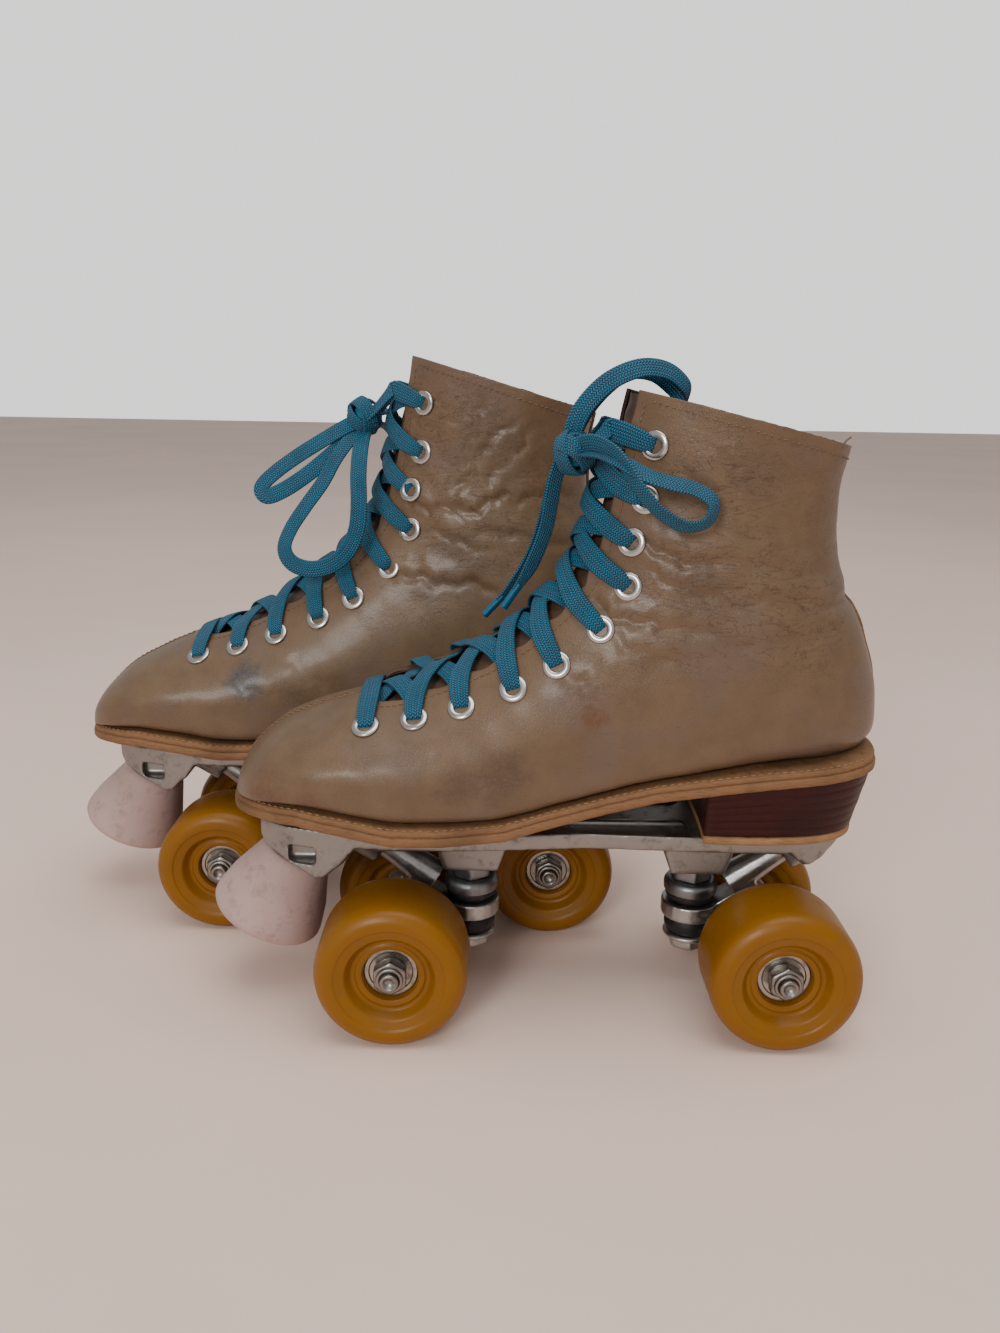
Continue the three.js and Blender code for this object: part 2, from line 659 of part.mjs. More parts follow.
// The hex nut under the plate and the cup washer that holds the upper cushion.
function kingpinNut(end) {
  const top = kingpinBossUnder() - GAP;
  const cup = ringMiddle() + CUP_RISE;
  const rim = CUSHION_RADIUS + 1.2;
  const hole = KINGPIN_RADIUS + GAP;
  const nut = raised(hexagon(KINGPIN_NUT), top - 6.6, top);
  const washer = turned([[0, cup], [rim, cup], [rim, cup + 4.6], [8, top - 6], [0, top - 6]], 16);
  const bore = turned([[0, cup - 5], [hole, cup - 5], [hole, top + 5], [0, top + 5]], 12);
  return nut.add(washer).subtract(bore).translate([end * KINGPIN_X, 0, 0]);
}

function cushion(end, z0, z1, bulge) {
  const hole = KINGPIN_RADIUS + GAP;
  const r = CUSHION_RADIUS;
  const profile = [[hole, z0], [r - 1, z0], [r + bulge, (z0 + z1) / 2], [r - 1, z1], [hole, z1]];
  return turned(profile, 14, true).translate([end * KINGPIN_X, 0, 0]);
}

function upperCushion(end) {
  return cushion(end, ringMiddle() + RING_HALF + GAP, ringMiddle() + CUP_RISE - GAP, 0.4);
}

function lowerCushion(end) {
  return cushion(end, AXLE_Z - 3.5 + GAP, ringMiddle() - RING_HALF - GAP, 0);
}

function hanger(end) {
  const flat = [[0, -RING_HALF], [RING_RADIUS, -RING_HALF], [RING_RADIUS, RING_HALF], [0, RING_HALF]];
  const ring = turned(flat, 20).translate([KINGPIN_X, 0, ringMiddle()]);
  const reach = TRACK / 2 - WHEEL_WIDTH / 2 - 1;
  const tube = turnedY([[0, -reach], [7, -reach], [9.6, -reach + 6], [9.6, reach - 6], [7, reach], [0, reach]], 16);
  const web = sideways([
    [KINGPIN_X + 11.8, ringMiddle() - 3.4], [AXLE_X, AXLE_Z - 8], [AXLE_X + 7, AXLE_Z + 5],
    [KINGPIN_X + 27, ringMiddle() + 15], [KINGPIN_X + 10, ringMiddle() + 3.4],
  ], 6.5);
  const arm = turned([[0, -27], [8, -27], [6, -7], [5.4, 4], [3, 7], [0, 7]], 14);
  const pin = arm.rotate([0, 90 - PIVOT_ANGLE, 0]).translate(pivotLine(9, 1));
  const [loose, snug] = [KINGPIN_RADIUS + 2.2, AXLE_RADIUS + GAP];
  const hole = turned([[0, -9], [loose, -9], [loose, 9], [0, 9]], 14);
  const bore = turnedY([[0, -60], [snug, -60], [snug, 60], [0, 60]], 12).translate([AXLE_X, 0, AXLE_Z]);
  const body = ring.add(tube.translate([AXLE_X, 0, AXLE_Z])).add(web).add(pin);
  const cut = body.subtract(hole.translate([KINGPIN_X, 0, ringMiddle()])).subtract(bore);
  return end > 0 ? cut : cut.mirror([1, 0, 0]);
}

// The axle with a lock nut on each end.
function axle(end) {
  const bearingFace = TRACK / 2 + WHEEL_WIDTH / 2 - BEARING_RECESS;
  const tip = bearingFace + 9;
  const bar = turnedY([[0, -tip], [AXLE_RADIUS, -tip], [AXLE_RADIUS, tip], [0, tip]], 12);
  const nut = raised(hexagon(AXLE_NUT), bearingFace + GAP, bearingFace + 7);
  const left = nut.rotate([90, 0, 0]);
  return bar.add(left).add(left.mirror([0, 1, 0])).translate([end * AXLE_X, 0, AXLE_Z]);
}

function wheelPlace(end, side) {
  return [end * AXLE_X, side * TRACK / 2, AXLE_Z];
}

function wheel(end, side) {
  const r = WHEEL_RADIUS / Math.cos(Math.PI / WHEEL_SIDES);
  const w = WHEEL_WIDTH / 2;
  const seat = w - BEARING_RECESS;
  const bore = BEARING_OD / 2 + GAP;
  const half = [[bore, seat + 0.6], [14.6, seat + 0.6], [20.5, w], [r - 4, w], [r, w - 4.4]];
  const other = half.map(([x, y]) => [x, -y]).reverse();
  return turnedY([...half, ...other], WHEEL_SIDES, true).translate(wheelPlace(end, side));
}

// Two ball bearings with the spacer that keeps them apart.
function bearings(end, side) {
  const face = WHEEL_WIDTH / 2 - BEARING_RECESS;
  const r = BEARING_OD / 2;
  const hole = BEARING_BORE / 2 + GAP;
  const half = [[hole, face], [r, face], [r, face - BEARING_WIDTH], [6.2, face - BEARING_WIDTH]];
  const other = half.map(([x, y]) => [x, -y]).reverse();
  return turnedY([...half, ...other], 14, true).translate(wheelPlace(end, side));
}

// ---- materials ----
const LOOKS = {
  leather: [0x9a7b5c, 0.55, 0],
  tongue: [0x8b6c4e, 0.6, 0],
  lace: [0x2f7380, 0.9, 0],
  sole: [0xa86a3c, 0.8, 0],
  heel: [0x5a2418, 0.6, 0],
  lift: [0xb08a5c, 0.8, 0],
  cast: [0x9a9a98, 0.55, 0.9],
  steel: [0xc4c4c2, 0.3, 1],
  cup: [0x77787a, 0.45, 1],
  black: [0x17181a, 0.7, 0],
  urethane: [0xb06a1c, 0.35, 0],
  stop: [0xb59a92, 0.85, 0],
};

function materialOf(look) {
  const [color, roughness, metalness] = LOOKS[look];
  return new THREE.MeshStandardMaterial({ color, roughness, metalness });
}

function assembly() {
  const group = new THREE.Group();
  group.name = 'quad_roller_skates';
  const held = new THREE.Box3();
  const add = (name, body, look) => {
    const mesh = new THREE.Mesh(geometryOf(body), materialOf(look));
    mesh.name = name;
    group.add(mesh);
    if (!name.endsWith('bow')) held.expandByObject(mesh);
  };
  for (const foot of ['left', 'right']) {
    const right = foot === 'right';
    const shift = [(right ? -0.5 : 0.5) * PAIR_STEP_X, (right ? 0.5 : -0.5) * PAIR_STEP_Y, 0];
    const instep = right ? RIGHT_INSTEP : 0;
    const place = (body) => (right ? body.mirror([0, 1, 0]) : body).translate(shift);
    const put = (name, body, look) => add(`${foot}_${name}`, place(body), look);
    put('boot_upper', bootUpper(instep), 'leather');
    put('tongue', tongue(instep), 'tongue');
    put('lace', lacing(instep), 'lace');
    put('lace_bow', laceBow(foot), 'lace');
    put('outsole', outsole(), 'sole');
    put('heel_stack', heelStack(), 'heel');
    put('heel_lift', heelLift(), 'lift');
    put('sole_plate', solePlate(), 'cast');
    put('toe_stop_stem', toeStopStem(), 'steel');
    put('toe_stop', toeStop(), 'stop');
    for (const [where, end] of [['front', -1], ['rear', 1]]) {
      put(`kingpin_${where}`, kingpin(end), 'steel');
      put(`kingpin_nut_${where}`, kingpinNut(end), 'cup');
      put(`cushion_upper_${where}`, upperCushion(end), 'black');
      put(`cushion_lower_${where}`, lowerCushion(end), 'black');
      put(`hanger_${where}`, hanger(end), 'cast');
      put(`axle_${where}`, axle(end), 'steel');
      for (const [edge, side] of [['outer', -1], ['inner', 1]]) {
        put(`wheel_${where}_${edge}`, wheel(end, side), 'urethane');
        put(`bearings_${where}_${edge}`, bearings(end, side), 'steel');
      }
    }
  }
  // The origin lies on the floor, under the middle of everything but the bows.
  const middle = held.getCenter(new THREE.Vector3());
  for (const mesh of group.children) mesh.geometry.translate(-middle.x, -middle.y, -held.min.z);
  return group;
}

export default assembly();
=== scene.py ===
import logging
import math
from dataclasses import dataclass
from enum import Enum
from functools import cached_property
from typing import Callable, Iterable, Sequence

import bmesh
import bpy
import numpy as np
from mathutils import Matrix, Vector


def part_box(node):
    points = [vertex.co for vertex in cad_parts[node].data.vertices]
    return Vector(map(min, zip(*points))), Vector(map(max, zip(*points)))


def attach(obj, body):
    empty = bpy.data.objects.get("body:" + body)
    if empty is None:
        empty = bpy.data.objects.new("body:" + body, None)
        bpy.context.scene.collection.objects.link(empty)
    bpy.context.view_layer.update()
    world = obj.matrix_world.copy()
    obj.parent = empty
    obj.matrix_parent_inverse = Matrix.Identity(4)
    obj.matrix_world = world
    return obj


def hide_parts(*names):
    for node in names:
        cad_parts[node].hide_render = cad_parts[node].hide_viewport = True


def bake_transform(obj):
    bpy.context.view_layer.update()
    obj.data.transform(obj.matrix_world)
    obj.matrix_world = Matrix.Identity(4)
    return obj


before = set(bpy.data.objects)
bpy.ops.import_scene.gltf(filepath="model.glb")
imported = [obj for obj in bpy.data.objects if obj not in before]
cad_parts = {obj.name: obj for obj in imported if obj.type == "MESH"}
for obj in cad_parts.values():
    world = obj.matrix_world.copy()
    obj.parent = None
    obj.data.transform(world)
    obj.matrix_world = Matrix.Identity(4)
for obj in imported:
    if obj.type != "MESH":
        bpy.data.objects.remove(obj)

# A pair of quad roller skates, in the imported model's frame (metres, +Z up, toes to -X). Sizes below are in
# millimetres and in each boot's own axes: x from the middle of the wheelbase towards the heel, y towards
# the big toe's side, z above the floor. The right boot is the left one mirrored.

Array = np.ndarray
MM = 0.001
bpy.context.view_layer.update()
log = logging.getLogger("skates")

# ---------------------------------------------------------------- numbers shared with the CAD

PLATE_TOP = 84.0
GAP = 0.3
WHEEL_RADIUS = 31.5
WHEEL_HALF = 17.8
BEARING_FACE = 9.5
AXLE_X = 80.6
TRACK_HALF = 35.8
KINGPIN_X = 49.0
RING_Z = 39.9
NUT_TOP = 61.0
STOP_TILT = math.radians(26)
STOP_HEAD = (-120.0, 76.5)
LACE_WIDTH = 8.0
LACE_THICK = 1.3
EYELET_STATIONS = (5.45, 6.55, 7.6, 8.7, 9.65, 10.75, 12.2, 14.1, 16.1, 18.0)
THROAT = 5.15
# Stations of the boot from toe to rim: top x, top z, base x, base z, half width, squareness.
STATIONS = np.array([
    [-148, 101.5, -148.3, 99.2, 8, 2.2], [-146.2, 108, -147.4, 97.6, 18, 2.2],
    [-140.5, 116, -143, 98.3, 27.5, 2.1], [-130, 124.8, -134, 99.4, 35.5, 2],
    [-114, 132.2, -118, 100.2, 41, 1.9], [-98.8, 137.2, -100, 98.2, 43.5, 1.8],
    [-82, 142.2, -80, 94.8, 44, 1.75], [-65, 149, -60, 94.4, 43, 1.7],
    [-49, 158, -36, 95.4, 40.5, 1.7], [-34, 168.5, -8, 102.4, 37.5, 1.75],
    [-22, 179.5, 26, 110.6, 35.5, 1.85], [-13, 190.5, 70, 117.3, 35, 1.95],
    [-7.5, 200, 106, 120.3, 35, 2], [-4.5, 207, 117.6, 124, 35, 2.05],
    [-2, 214, 119.4, 137, 34.6, 2.1], [-0.5, 221, 115.6, 156, 33.6, 2],
    [1, 229, 106.5, 177, 32, 2], [3, 238, 99, 195, 31, 2],
    [5, 248, 95.3, 214, 31, 2.1], [6.8, 256, 95, 229, 31.6, 2.1],
    [8.5, 264, 97.4, 243, 32.4, 2.1]])
LAST = len(STATIONS) - 1
# The sole's plan: x and half width.
SOLE_PLAN = np.array([
    [-151, 0], [-150, 12], [-146, 22.5], [-138, 32], [-126, 40], [-108, 45.6], [-86, 47.6], [-64, 46.5],
    [-40, 43], [-14, 39], [14, 36.4], [44, 36.4], [72, 37.2], [94, 35], [108, 29.5], [116.5, 20.5],
    [120.3, 10], [121.5, 0]])

# Loose ends of the laces: out of the knot, round the loop, through the knot, down to the tip.
BOWS = {
    "left": ((-10, -6, 239), (
        ((-0.45, -0.85, 0.1), [
            [-11, -6, 240], [-11, -8, 248], [-7, -9, 257], [2, -9, 266], [14, -7, 271], [25, -4, 270],
            [33, 0, 264], [34, 6, 259], [30, 11, 264], [22, 12, 269.5], [12, 11, 270], [3, 8, 264],
            [-5, 4, 255], [-10, 0, 246], [-14, -2, 238], [-17, -2, 229], [-18.5, 0, 219], [-20, 1, 209],
            [-23, 2, 199], [-27, 2, 190], [-32, 2, 182]]),
        ((0, -1, 0), [
            [-10, -11, 241], [-4, -19, 243], [3, -28, 240], [8, -34, 234], [13, -38, 226.5],
            [20, -39.5, 219.5], [29, -40, 215], [37, -40, 217], [38.5, -40, 224], [32, -39, 228.5],
            [23, -38, 230.5], [14, -36, 233], [6, -30, 237], [-1, -21, 239.5], [-8, -11, 239], [-14, 0, 236],
            [-17, 7, 229], [-19, 10, 219], [-21, 11.5, 209], [-24, 12.5, 199], [-28, 13, 190],
            [-33, 13, 182], [-39, 13.5, 175]]))),
    "right": ((-11.5, 4, 248), (
        ((-0.3, 0.85, 0.35), [
            [-12.5, 6, 247], [-20.5, 8, 243], [-31.5, 9, 236.5], [-43.5, 10, 229], [-54.5, 11, 221],
            [-60.5, 13, 214.5], [-57.5, 15, 210.5], [-49.5, 15, 213.5], [-39.5, 14, 220], [-29.5, 12, 228],
            [-19.5, 9, 237], [-11.5, 3, 246], [-7.5, -6, 250], [-3.5, -15, 250], [1.5, -25, 247],
            [6.5, -33, 241], [10.5, -37.5, 232], [13.5, -39, 221], [15.5, -39.5, 209], [17, -40.5, 197],
            [18.5, -41.5, 185]]),
        ((-0.5, 0.8, 0.1), [
            [-11.5, 6, 243], [-17.5, 11, 238], [-24.5, 15, 228.5], [-30.5, 18, 217.5], [-38.5, 20, 206.5],
            [-45.5, 21.5, 196], [-48.5, 24, 187], [-44.5, 27, 180.5], [-35.5, 29, 178], [-25.5, 30, 180.5],
            [-17.5, 31, 187.5], [-13, 31, 198], [-12, 29.5, 210], [-12.5, 25.5, 222], [-12.5, 17, 233],
            [-11.5, 7, 241], [-8.5, -4, 244.5], [-4.5, -15, 243], [-1, -26, 239], [1, -33.5, 231],
            [2.5, -37, 220.5], [3.5, -38.5, 209], [4, -40, 198], [4.5, -42, 187]]))),
}


class Foot(Enum):
    """Which of the two skates a piece belongs to."""

    LEFT = "left"
    RIGHT = "right"


# ---------------------------------------------------------------- small mathematics


def smoothstep(x: Array, low: float, high: float) -> Array:
    """0 below low, 1 above high, and a smooth rise between them."""
    f = np.clip((np.asarray(x, float) - low) / (high - low), 0, 1)
    return f * f * (3 - 2 * f)


def unit(v: Array) -> Array:
    """The vectors of the last axis, one long."""
    return v / np.maximum(np.linalg.norm(v, axis=-1, keepdims=True), 1e-12)


def spline(table: Array, t: Array) -> Array:
    """Uniform Catmull-Rom through the rows of a table.

    Args:
        table: one row for each whole t, any number of columns.
        t: places along it, of any shape.

    Returns:
        The table's columns at t, as the last axis.
    """
    table = np.asarray(table, float)
    last = len(table) - 1
    i = np.clip(np.floor(t).astype(int), 0, last - 1)
    f = (np.asarray(t, float) - i)[..., None]
    p0, p1, p2, p3 = (table[np.clip(i + k, 0, last)] for k in (-1, 0, 1, 2))
    return 0.5 * (2 * p1 + (p2 - p0) * f + (2 * p0 - 5 * p1 + 4 * p2 - p3) * f**2
                  + (3 * p1 - p0 - 3 * p2 + p3) * f**3)


def smooth_path(points: Sequence[Sequence[float]], per: int) -> Array:
    """A spline through points, with per samples for each step between them."""
    table = np.asarray(points, float)
    return spline(table, np.linspace(0, len(table) - 1, per * (len(table) - 1) + 1))


def tangents(path: Array) -> Array:
    """The way along a path at each of its points."""
    return unit(np.gradient(path, axis=0))


def transported(path: Array, start: Sequence[float], lean: Array | None = None, pull: float = 0.35) -> Array:
    """Face directions along a path that don't twist, drawn towards or away from lean where it is given."""
    along = tangents(path)
    look = np.asarray(start, float)
    faces = np.zeros_like(path)
    for i, way in enumerate(along):
        if lean is not None:
            side = lean[i] - way * lean[i].dot(way)
            look = look + pull * side * np.linalg.norm(side) * (1.0 if look.dot(side) >= 0 else -1.0)
        look = look - way * look.dot(way)
        look = look / max(np.linalg.norm(look), 1e-9)
        faces[i] = look
    return faces


def grid_faces(rows: int, cols: int, wrap: bool = False, flip: bool = False) -> Array:
    """Quads of a grid whose points are stored row by row."""
    across = cols if wrap else cols - 1
    r, c = np.meshgrid(np.arange(rows - 1), np.arange(across), indexing="ij")
    a = r * cols + c
    b = r * cols + (c + 1) % cols
    quads = np.stack([a, b, b + cols, a + cols], -1).reshape(-1, 4)
    return quads[:, ::-1] if flip else quads


# ---------------------------------------------------------------- meshes


def make_mesh(name: str, points: Array, faces: Iterable, uv: Array | None = None, merge: bool = True,
              smooth: bool = True) -> bpy.types.Object:
    """A mesh piece from points in millimetres, in the row's frame.

    Args:
        name: the piece's name.
        points: (n, 3) points.
        faces: rows of point numbers.
        uv: one (u, v) for each point, kept as a UV map.
        merge: whether points in the same place are joined and flat faces dropped.
        smooth: whether the faces are shaded smooth.

    Returns:
        The object, faces outwards, at the origin.
    """
    mesh = bpy.data.meshes.new(name)
    mesh.from_pydata((np.asarray(points, float) * MM).tolist(), [], [list(map(int, f)) for f in faces])
    if uv is not None:
        layer = mesh.uv_layers.new(name="cloth")
        index = np.zeros(len(mesh.loops), np.int32)
        mesh.loops.foreach_get("vertex_index", index)
        layer.data.foreach_set("uv", np.asarray(uv, np.float32)[index].ravel())
    work = bmesh.new()
    work.from_mesh(mesh)
    if merge:
        bmesh.ops.remove_doubles(work, verts=work.verts, dist=2e-6)
        bmesh.ops.dissolve_degenerate(work, edges=work.edges, dist=1e-7)
    bmesh.ops.recalc_face_normals(work, faces=work.faces)
    for face in work.faces:
        face.smooth = smooth
    work.to_mesh(mesh)
    work.free()
    piece = bpy.data.objects.new(name, mesh)
    bpy.context.scene.collection.objects.link(piece)
    return piece


def joined(parts: Sequence[tuple[Array, Array]]) -> tuple[Array, list]:
    """Several lots of points and faces as one."""
    points, faces, start = [], [], 0
    for pts, quads in parts:
        points.append(pts)
        faces.extend((np.asarray(q) + start).tolist() for q in quads)
        start += len(pts)
    return np.concatenate(points), faces


def turned(profile: Sequence[Sequence[float]], sides: int = 64, closed: bool = False) -> tuple[Array, Array]:
    """A solid of revolution about Z from (radius, height) points, as points and faces."""
    line = np.asarray(list(profile) + ([profile[0]] if closed else []), float)
    a = np.linspace(0, 2 * np.pi, sides, endpoint=False)
    points = np.stack([np.outer(line[:, 0], np.cos(a)), np.outer(line[:, 0], np.sin(a)),
                       np.repeat(line[:, 1:], sides, 1)], -1)
    return points.reshape(-1, 3), grid_faces(len(line), sides, wrap=True)


def rounded(profile: Sequence[Sequence[float]], radius: float, steps: int = 4) -> list[tuple[float, float]]:
    """A profile with each corner cut by a small curve; a third number in a point is its own radius."""
    out = [tuple(profile[0][:2])]
    for before, here, after in zip(profile, profile[1:], profile[2:]):
        p, q, r = (np.array(x[:2], float) for x in (before, here, after))
        size = here[2] if len(here) > 2 else radius
        back, ahead = np.linalg.norm(p - q), np.linalg.norm(r - q)
        cut = min(size, 0.45 * back, 0.45 * ahead)
        a, b = q + (p - q) / back * cut, q + (r - q) / ahead * cut
        for f in np.linspace(0, 1, steps):
            out.append(tuple((1 - f) ** 2 * a + 2 * f * (1 - f) * q + f * f * b))
    out.append(tuple(profile[-1][:2]))
    return out


def hex_nut(flats: float, low: float, high: float, bore: float) -> tuple[Array, Array]:
    """A hexagonal nut about Z with rounded-off corners and a hole."""
    corner = flats / math.sqrt(3)
    sides = 48
    a = np.linspace(0, 2 * np.pi, sides, endpoint=False)
    to_flat = flats / 2 / np.cos((a + np.pi / 6) % (np.pi / 3) - np.pi / 6)
    chamfer = 0.45 * (corner - flats / 2) + flats / 2
    rings = []
    for radius, h in ((bore, low), (flats * 0.44, low), (chamfer, low + 0.15), (corner, low + 0.9),
                      (corner, high - 0.9), (chamfer, high - 0.15), (flats * 0.44, high), (bore, high),
                      (bore, low)):
        r = np.minimum(to_flat, radius) if radius > bore else np.full(sides, bore)
        rings.append(np.stack([r * np.cos(a), r * np.sin(a), np.full(sides, h)], -1))
    points = np.concatenate(rings)
    return points, grid_faces(len(rings), sides, wrap=True)


def banded(plan: Callable[[float], Array], profile: Sequence[tuple[float, float]],
           top: Callable[[Array], Array], under: Callable[[Array], Array]) -> tuple[Array, Array]:
    """A flat body whose edge has a profile, such as a sole.

    Args:
        plan: height share to outline, as (n, 2) points in order round it.
        profile: (inset, height share) from the top's rim down to the bottom's.
        top: the top's height at x.
        under: the underside's height at x.

    Returns:
        Points and faces. Each ring is the outline moved in by the inset; the first and last ones close
        on the middle line.
    """
    rings = []
    for inset, share in profile:
        line = plan(share)
        way = unit(np.roll(line, -1, 0) - np.roll(line, 1, 0))
        middle = line[:, 1].mean()
        out = np.stack([way[:, 1], -way[:, 0]], -1)
        if np.sum(out * (line - line.mean(0))) < 0:
            out = -out
        ring = line - out * inset
        z = under(ring[:, 0]) + (top(ring[:, 0]) - under(ring[:, 0])) * share
        rings.append(np.column_stack([ring, z]))

    def shrunk(ring: Array, share: float) -> Array:
        """The ring drawn in across its width."""
        inner = ring.copy()
        middle = 0.5 * (ring[:, 1].max() + ring[:, 1].min())
        inner[:, 1] = middle + (ring[:, 1] - middle) * share
        return inner

    caps = (0.0, 0.35, 0.7)
    rings = [shrunk(rings[0], s) for s in caps] + rings + [shrunk(rings[-1], s) for s in caps[::-1]]
    return np.concatenate(rings), grid_faces(len(rings), len(rings[0]), wrap=True)


def ribbon(path: Array, faces: Array, width: Array | float, thick: float) -> tuple[Array, Array, Array]:
    """A flat braid along a path: points, faces, and UV as (across, length in millimetres)."""
    sides = 14
    a = np.linspace(0, 2 * np.pi, sides, endpoint=False)
    across = np.sign(np.cos(a)) * np.abs(np.cos(a)) ** 0.8
    up = np.sign(np.sin(a)) * np.abs(np.sin(a)) ** 0.55
    side = np.cross(tangents(path), faces)
    half = np.broadcast_to(np.asarray(width, float), (len(path),))[:, None, None] / 2
    body = (path[:, None] + side[:, None] * across[None, :, None] * half
            + faces[:, None] * up[None, :, None] * thick / 2)
    ends = [np.repeat(body[i].mean(0)[None], sides, 0)[None] for i in (0, -1)]
    points = np.concatenate([ends[0], body, ends[1]]).reshape(-1, 3)
    length = np.concatenate([[0], np.cumsum(np.linalg.norm(np.diff(path, axis=0), axis=1))])
    length = np.concatenate([[0], length, [length[-1]]])
    uv = np.stack(np.broadcast_arrays(0.5 + 0.5 * across[None], length[:, None]), -1).reshape(-1, 2)
    return points, grid_faces(len(path) + 2, sides, wrap=True), uv


def stitches(path: Array, out: Array, step: float = 2.7, length: float = 1.9,
             radius: float = 0.3) -> tuple[Array, Array]:
    """Short raised threads laid end to end along a path."""
    reach = np.concatenate([[0], np.cumsum(np.linalg.norm(np.diff(path, axis=0), axis=1))])
    at = np.arange(step, reach[-1] - step, step)
    where = np.stack([np.interp(at, reach, path[:, k]) for k in range(3)], -1)
    way = unit(np.stack([np.interp(at, reach, tangents(path)[:, k]) for k in range(3)], -1))
    up = unit(np.stack([np.interp(at, reach, out[:, k]) for k in range(3)], -1))
    side = np.cross(way, up)
    sides = 6
    a = np.linspace(0, 2 * np.pi, sides, endpoint=False)
    rings = np.array([[-0.5, 0.0, -0.25], [-0.42, 0.7, -0.05], [-0.15, 1, 0.25], [0.15, 1, 0.25],
                      [0.42, 0.7, -0.05], [0.5, 0.0, -0.25]])
    along, wide, high = (rings[:, k][None, :, None, None] for k in range(3))
    points = (where[:, None, None] + way[:, None, None] * along * length
              + (side[:, None, None] * np.cos(a)[None, None, :, None]
                 + up[:, None, None] * np.sin(a)[None, None, :, None]) * wide * radius
              + up[:, None, None] * high * radius)
    one = grid_faces(len(rings), sides, wrap=True)
    per = len(rings) * sides
    faces = (one[None] + (np.arange(len(at)) * per)[:, None, None]).reshape(-1, 4)
    return points.reshape(-1, 3), faces


def add_modifier(piece: bpy.types.Object, kind: str, **settings: object) -> None:
    """Puts a modifier on a piece, the same in view and render."""
    modifier = piece.modifiers.new(kind.lower(), kind)
    for key, value in settings.items():
        setattr(modifier, key, value)


def cast_copy(name: str, node: str, voxel: float, soften: int) -> bpy.types.Object:
    """A CAD solid remeshed with soft edges, as a casting has.

    Args:
        name: the new piece's name.
        node: the CAD node that it starts from.
        voxel: the remesh size in millimetres.
        soften: how many rounds of smoothing it gets.
    """
    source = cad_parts[node]
    piece = bpy.data.objects.new(name, source.data.copy())
    bpy.context.scene.collection.objects.link(piece)
    piece.data.materials.clear()
    add_modifier(piece, "WELD", merge_threshold=1e-5)
    add_modifier(piece, "REMESH", mode="VOXEL", voxel_size=voxel * MM)
    add_modifier(piece, "SMOOTH", factor=0.5, iterations=soften)
    bpy.context.view_layer.update()
    made = bpy.data.meshes.new_from_object(piece.evaluated_get(bpy.context.evaluated_depsgraph_get()))
    piece.modifiers.clear()
    piece.data = made
    made.polygons.foreach_set("use_smooth", np.ones(len(made.polygons), bool))
    return piece


# ---------------------------------------------------------------- node helpers and shared effects


class Graph:
    """A node tree with short ways to add and join nodes."""

    def __init__(self, tree: bpy.types.NodeTree) -> None:
        """Wraps a tree."""
        self.tree = tree

    def add(self, kind: str, feeds: dict | None = None, **settings: object) -> bpy.types.Node:
        """A node, its settings, and what its inputs get: a socket or a value."""
        node = self.tree.nodes.new(kind)
        for key, value in settings.items():
            setattr(node, key, value)
        for key, value in (feeds or {}).items():
            self.feed(node.inputs[key], value)
        return node

    def feed(self, socket: bpy.types.NodeSocket, value: object) -> None:
        """Links a socket to a socket, or sets its value."""
        if isinstance(value, bpy.types.NodeSocket):
            self.tree.links.new(value, socket)
        elif socket.type == "RGBA":
            socket.default_value = (*value[:3], 1.0)
        else:
            socket.default_value = value

    def math(self, operation: str, a: object, b: object = 0.0, clamp: bool = False) -> bpy.types.NodeSocket:
        """One sum on numbers."""
        return self.add("ShaderNodeMath", {0: a, 1: b}, operation=operation, use_clamp=clamp).outputs[0]

    def vector(self, operation: str, a: object, b: object = (0.0, 0.0, 0.0)) -> bpy.types.Node:
        """One sum on vectors."""
        return self.add("ShaderNodeVectorMath", {0: a, 1: b}, operation=operation)

    def mix(self, share: object, a: object, b: object) -> bpy.types.NodeSocket:
        """A blend of two colours."""
        return self.add("ShaderNodeMix", {0: share, 6: a, 7: b}, data_type="RGBA").outputs[2]

    def ramp(self, value: object, low: float, high: float) -> bpy.types.NodeSocket:
        """A number spread smoothly from low..high to 0..1."""
        node = self.add("ShaderNodeMapRange", {0: value, 1: low, 2: high}, interpolation_type="SMOOTHSTEP")
        return node.outputs[0]

    def noise(self, where: object, scale: float, detail: float = 3.0,
              rough: float = 0.55) -> bpy.types.NodeSocket:
        """Fractal noise, 0 to 1."""
        feeds = {"Vector": where, "Scale": scale, "Detail": detail, "Roughness": rough}
        return self.add("ShaderNodeTexNoise", feeds).outputs["Fac"]

    def bump(self, height: object, strength: float, distance: float,
             normal: object = None) -> bpy.types.NodeSocket:
        """A bumped normal."""
        feeds = {"Height": height, "Strength": strength, "Distance": distance}
        if normal is not None:
            feeds["Normal"] = normal
        return self.add("ShaderNodeBump", feeds).outputs[0]


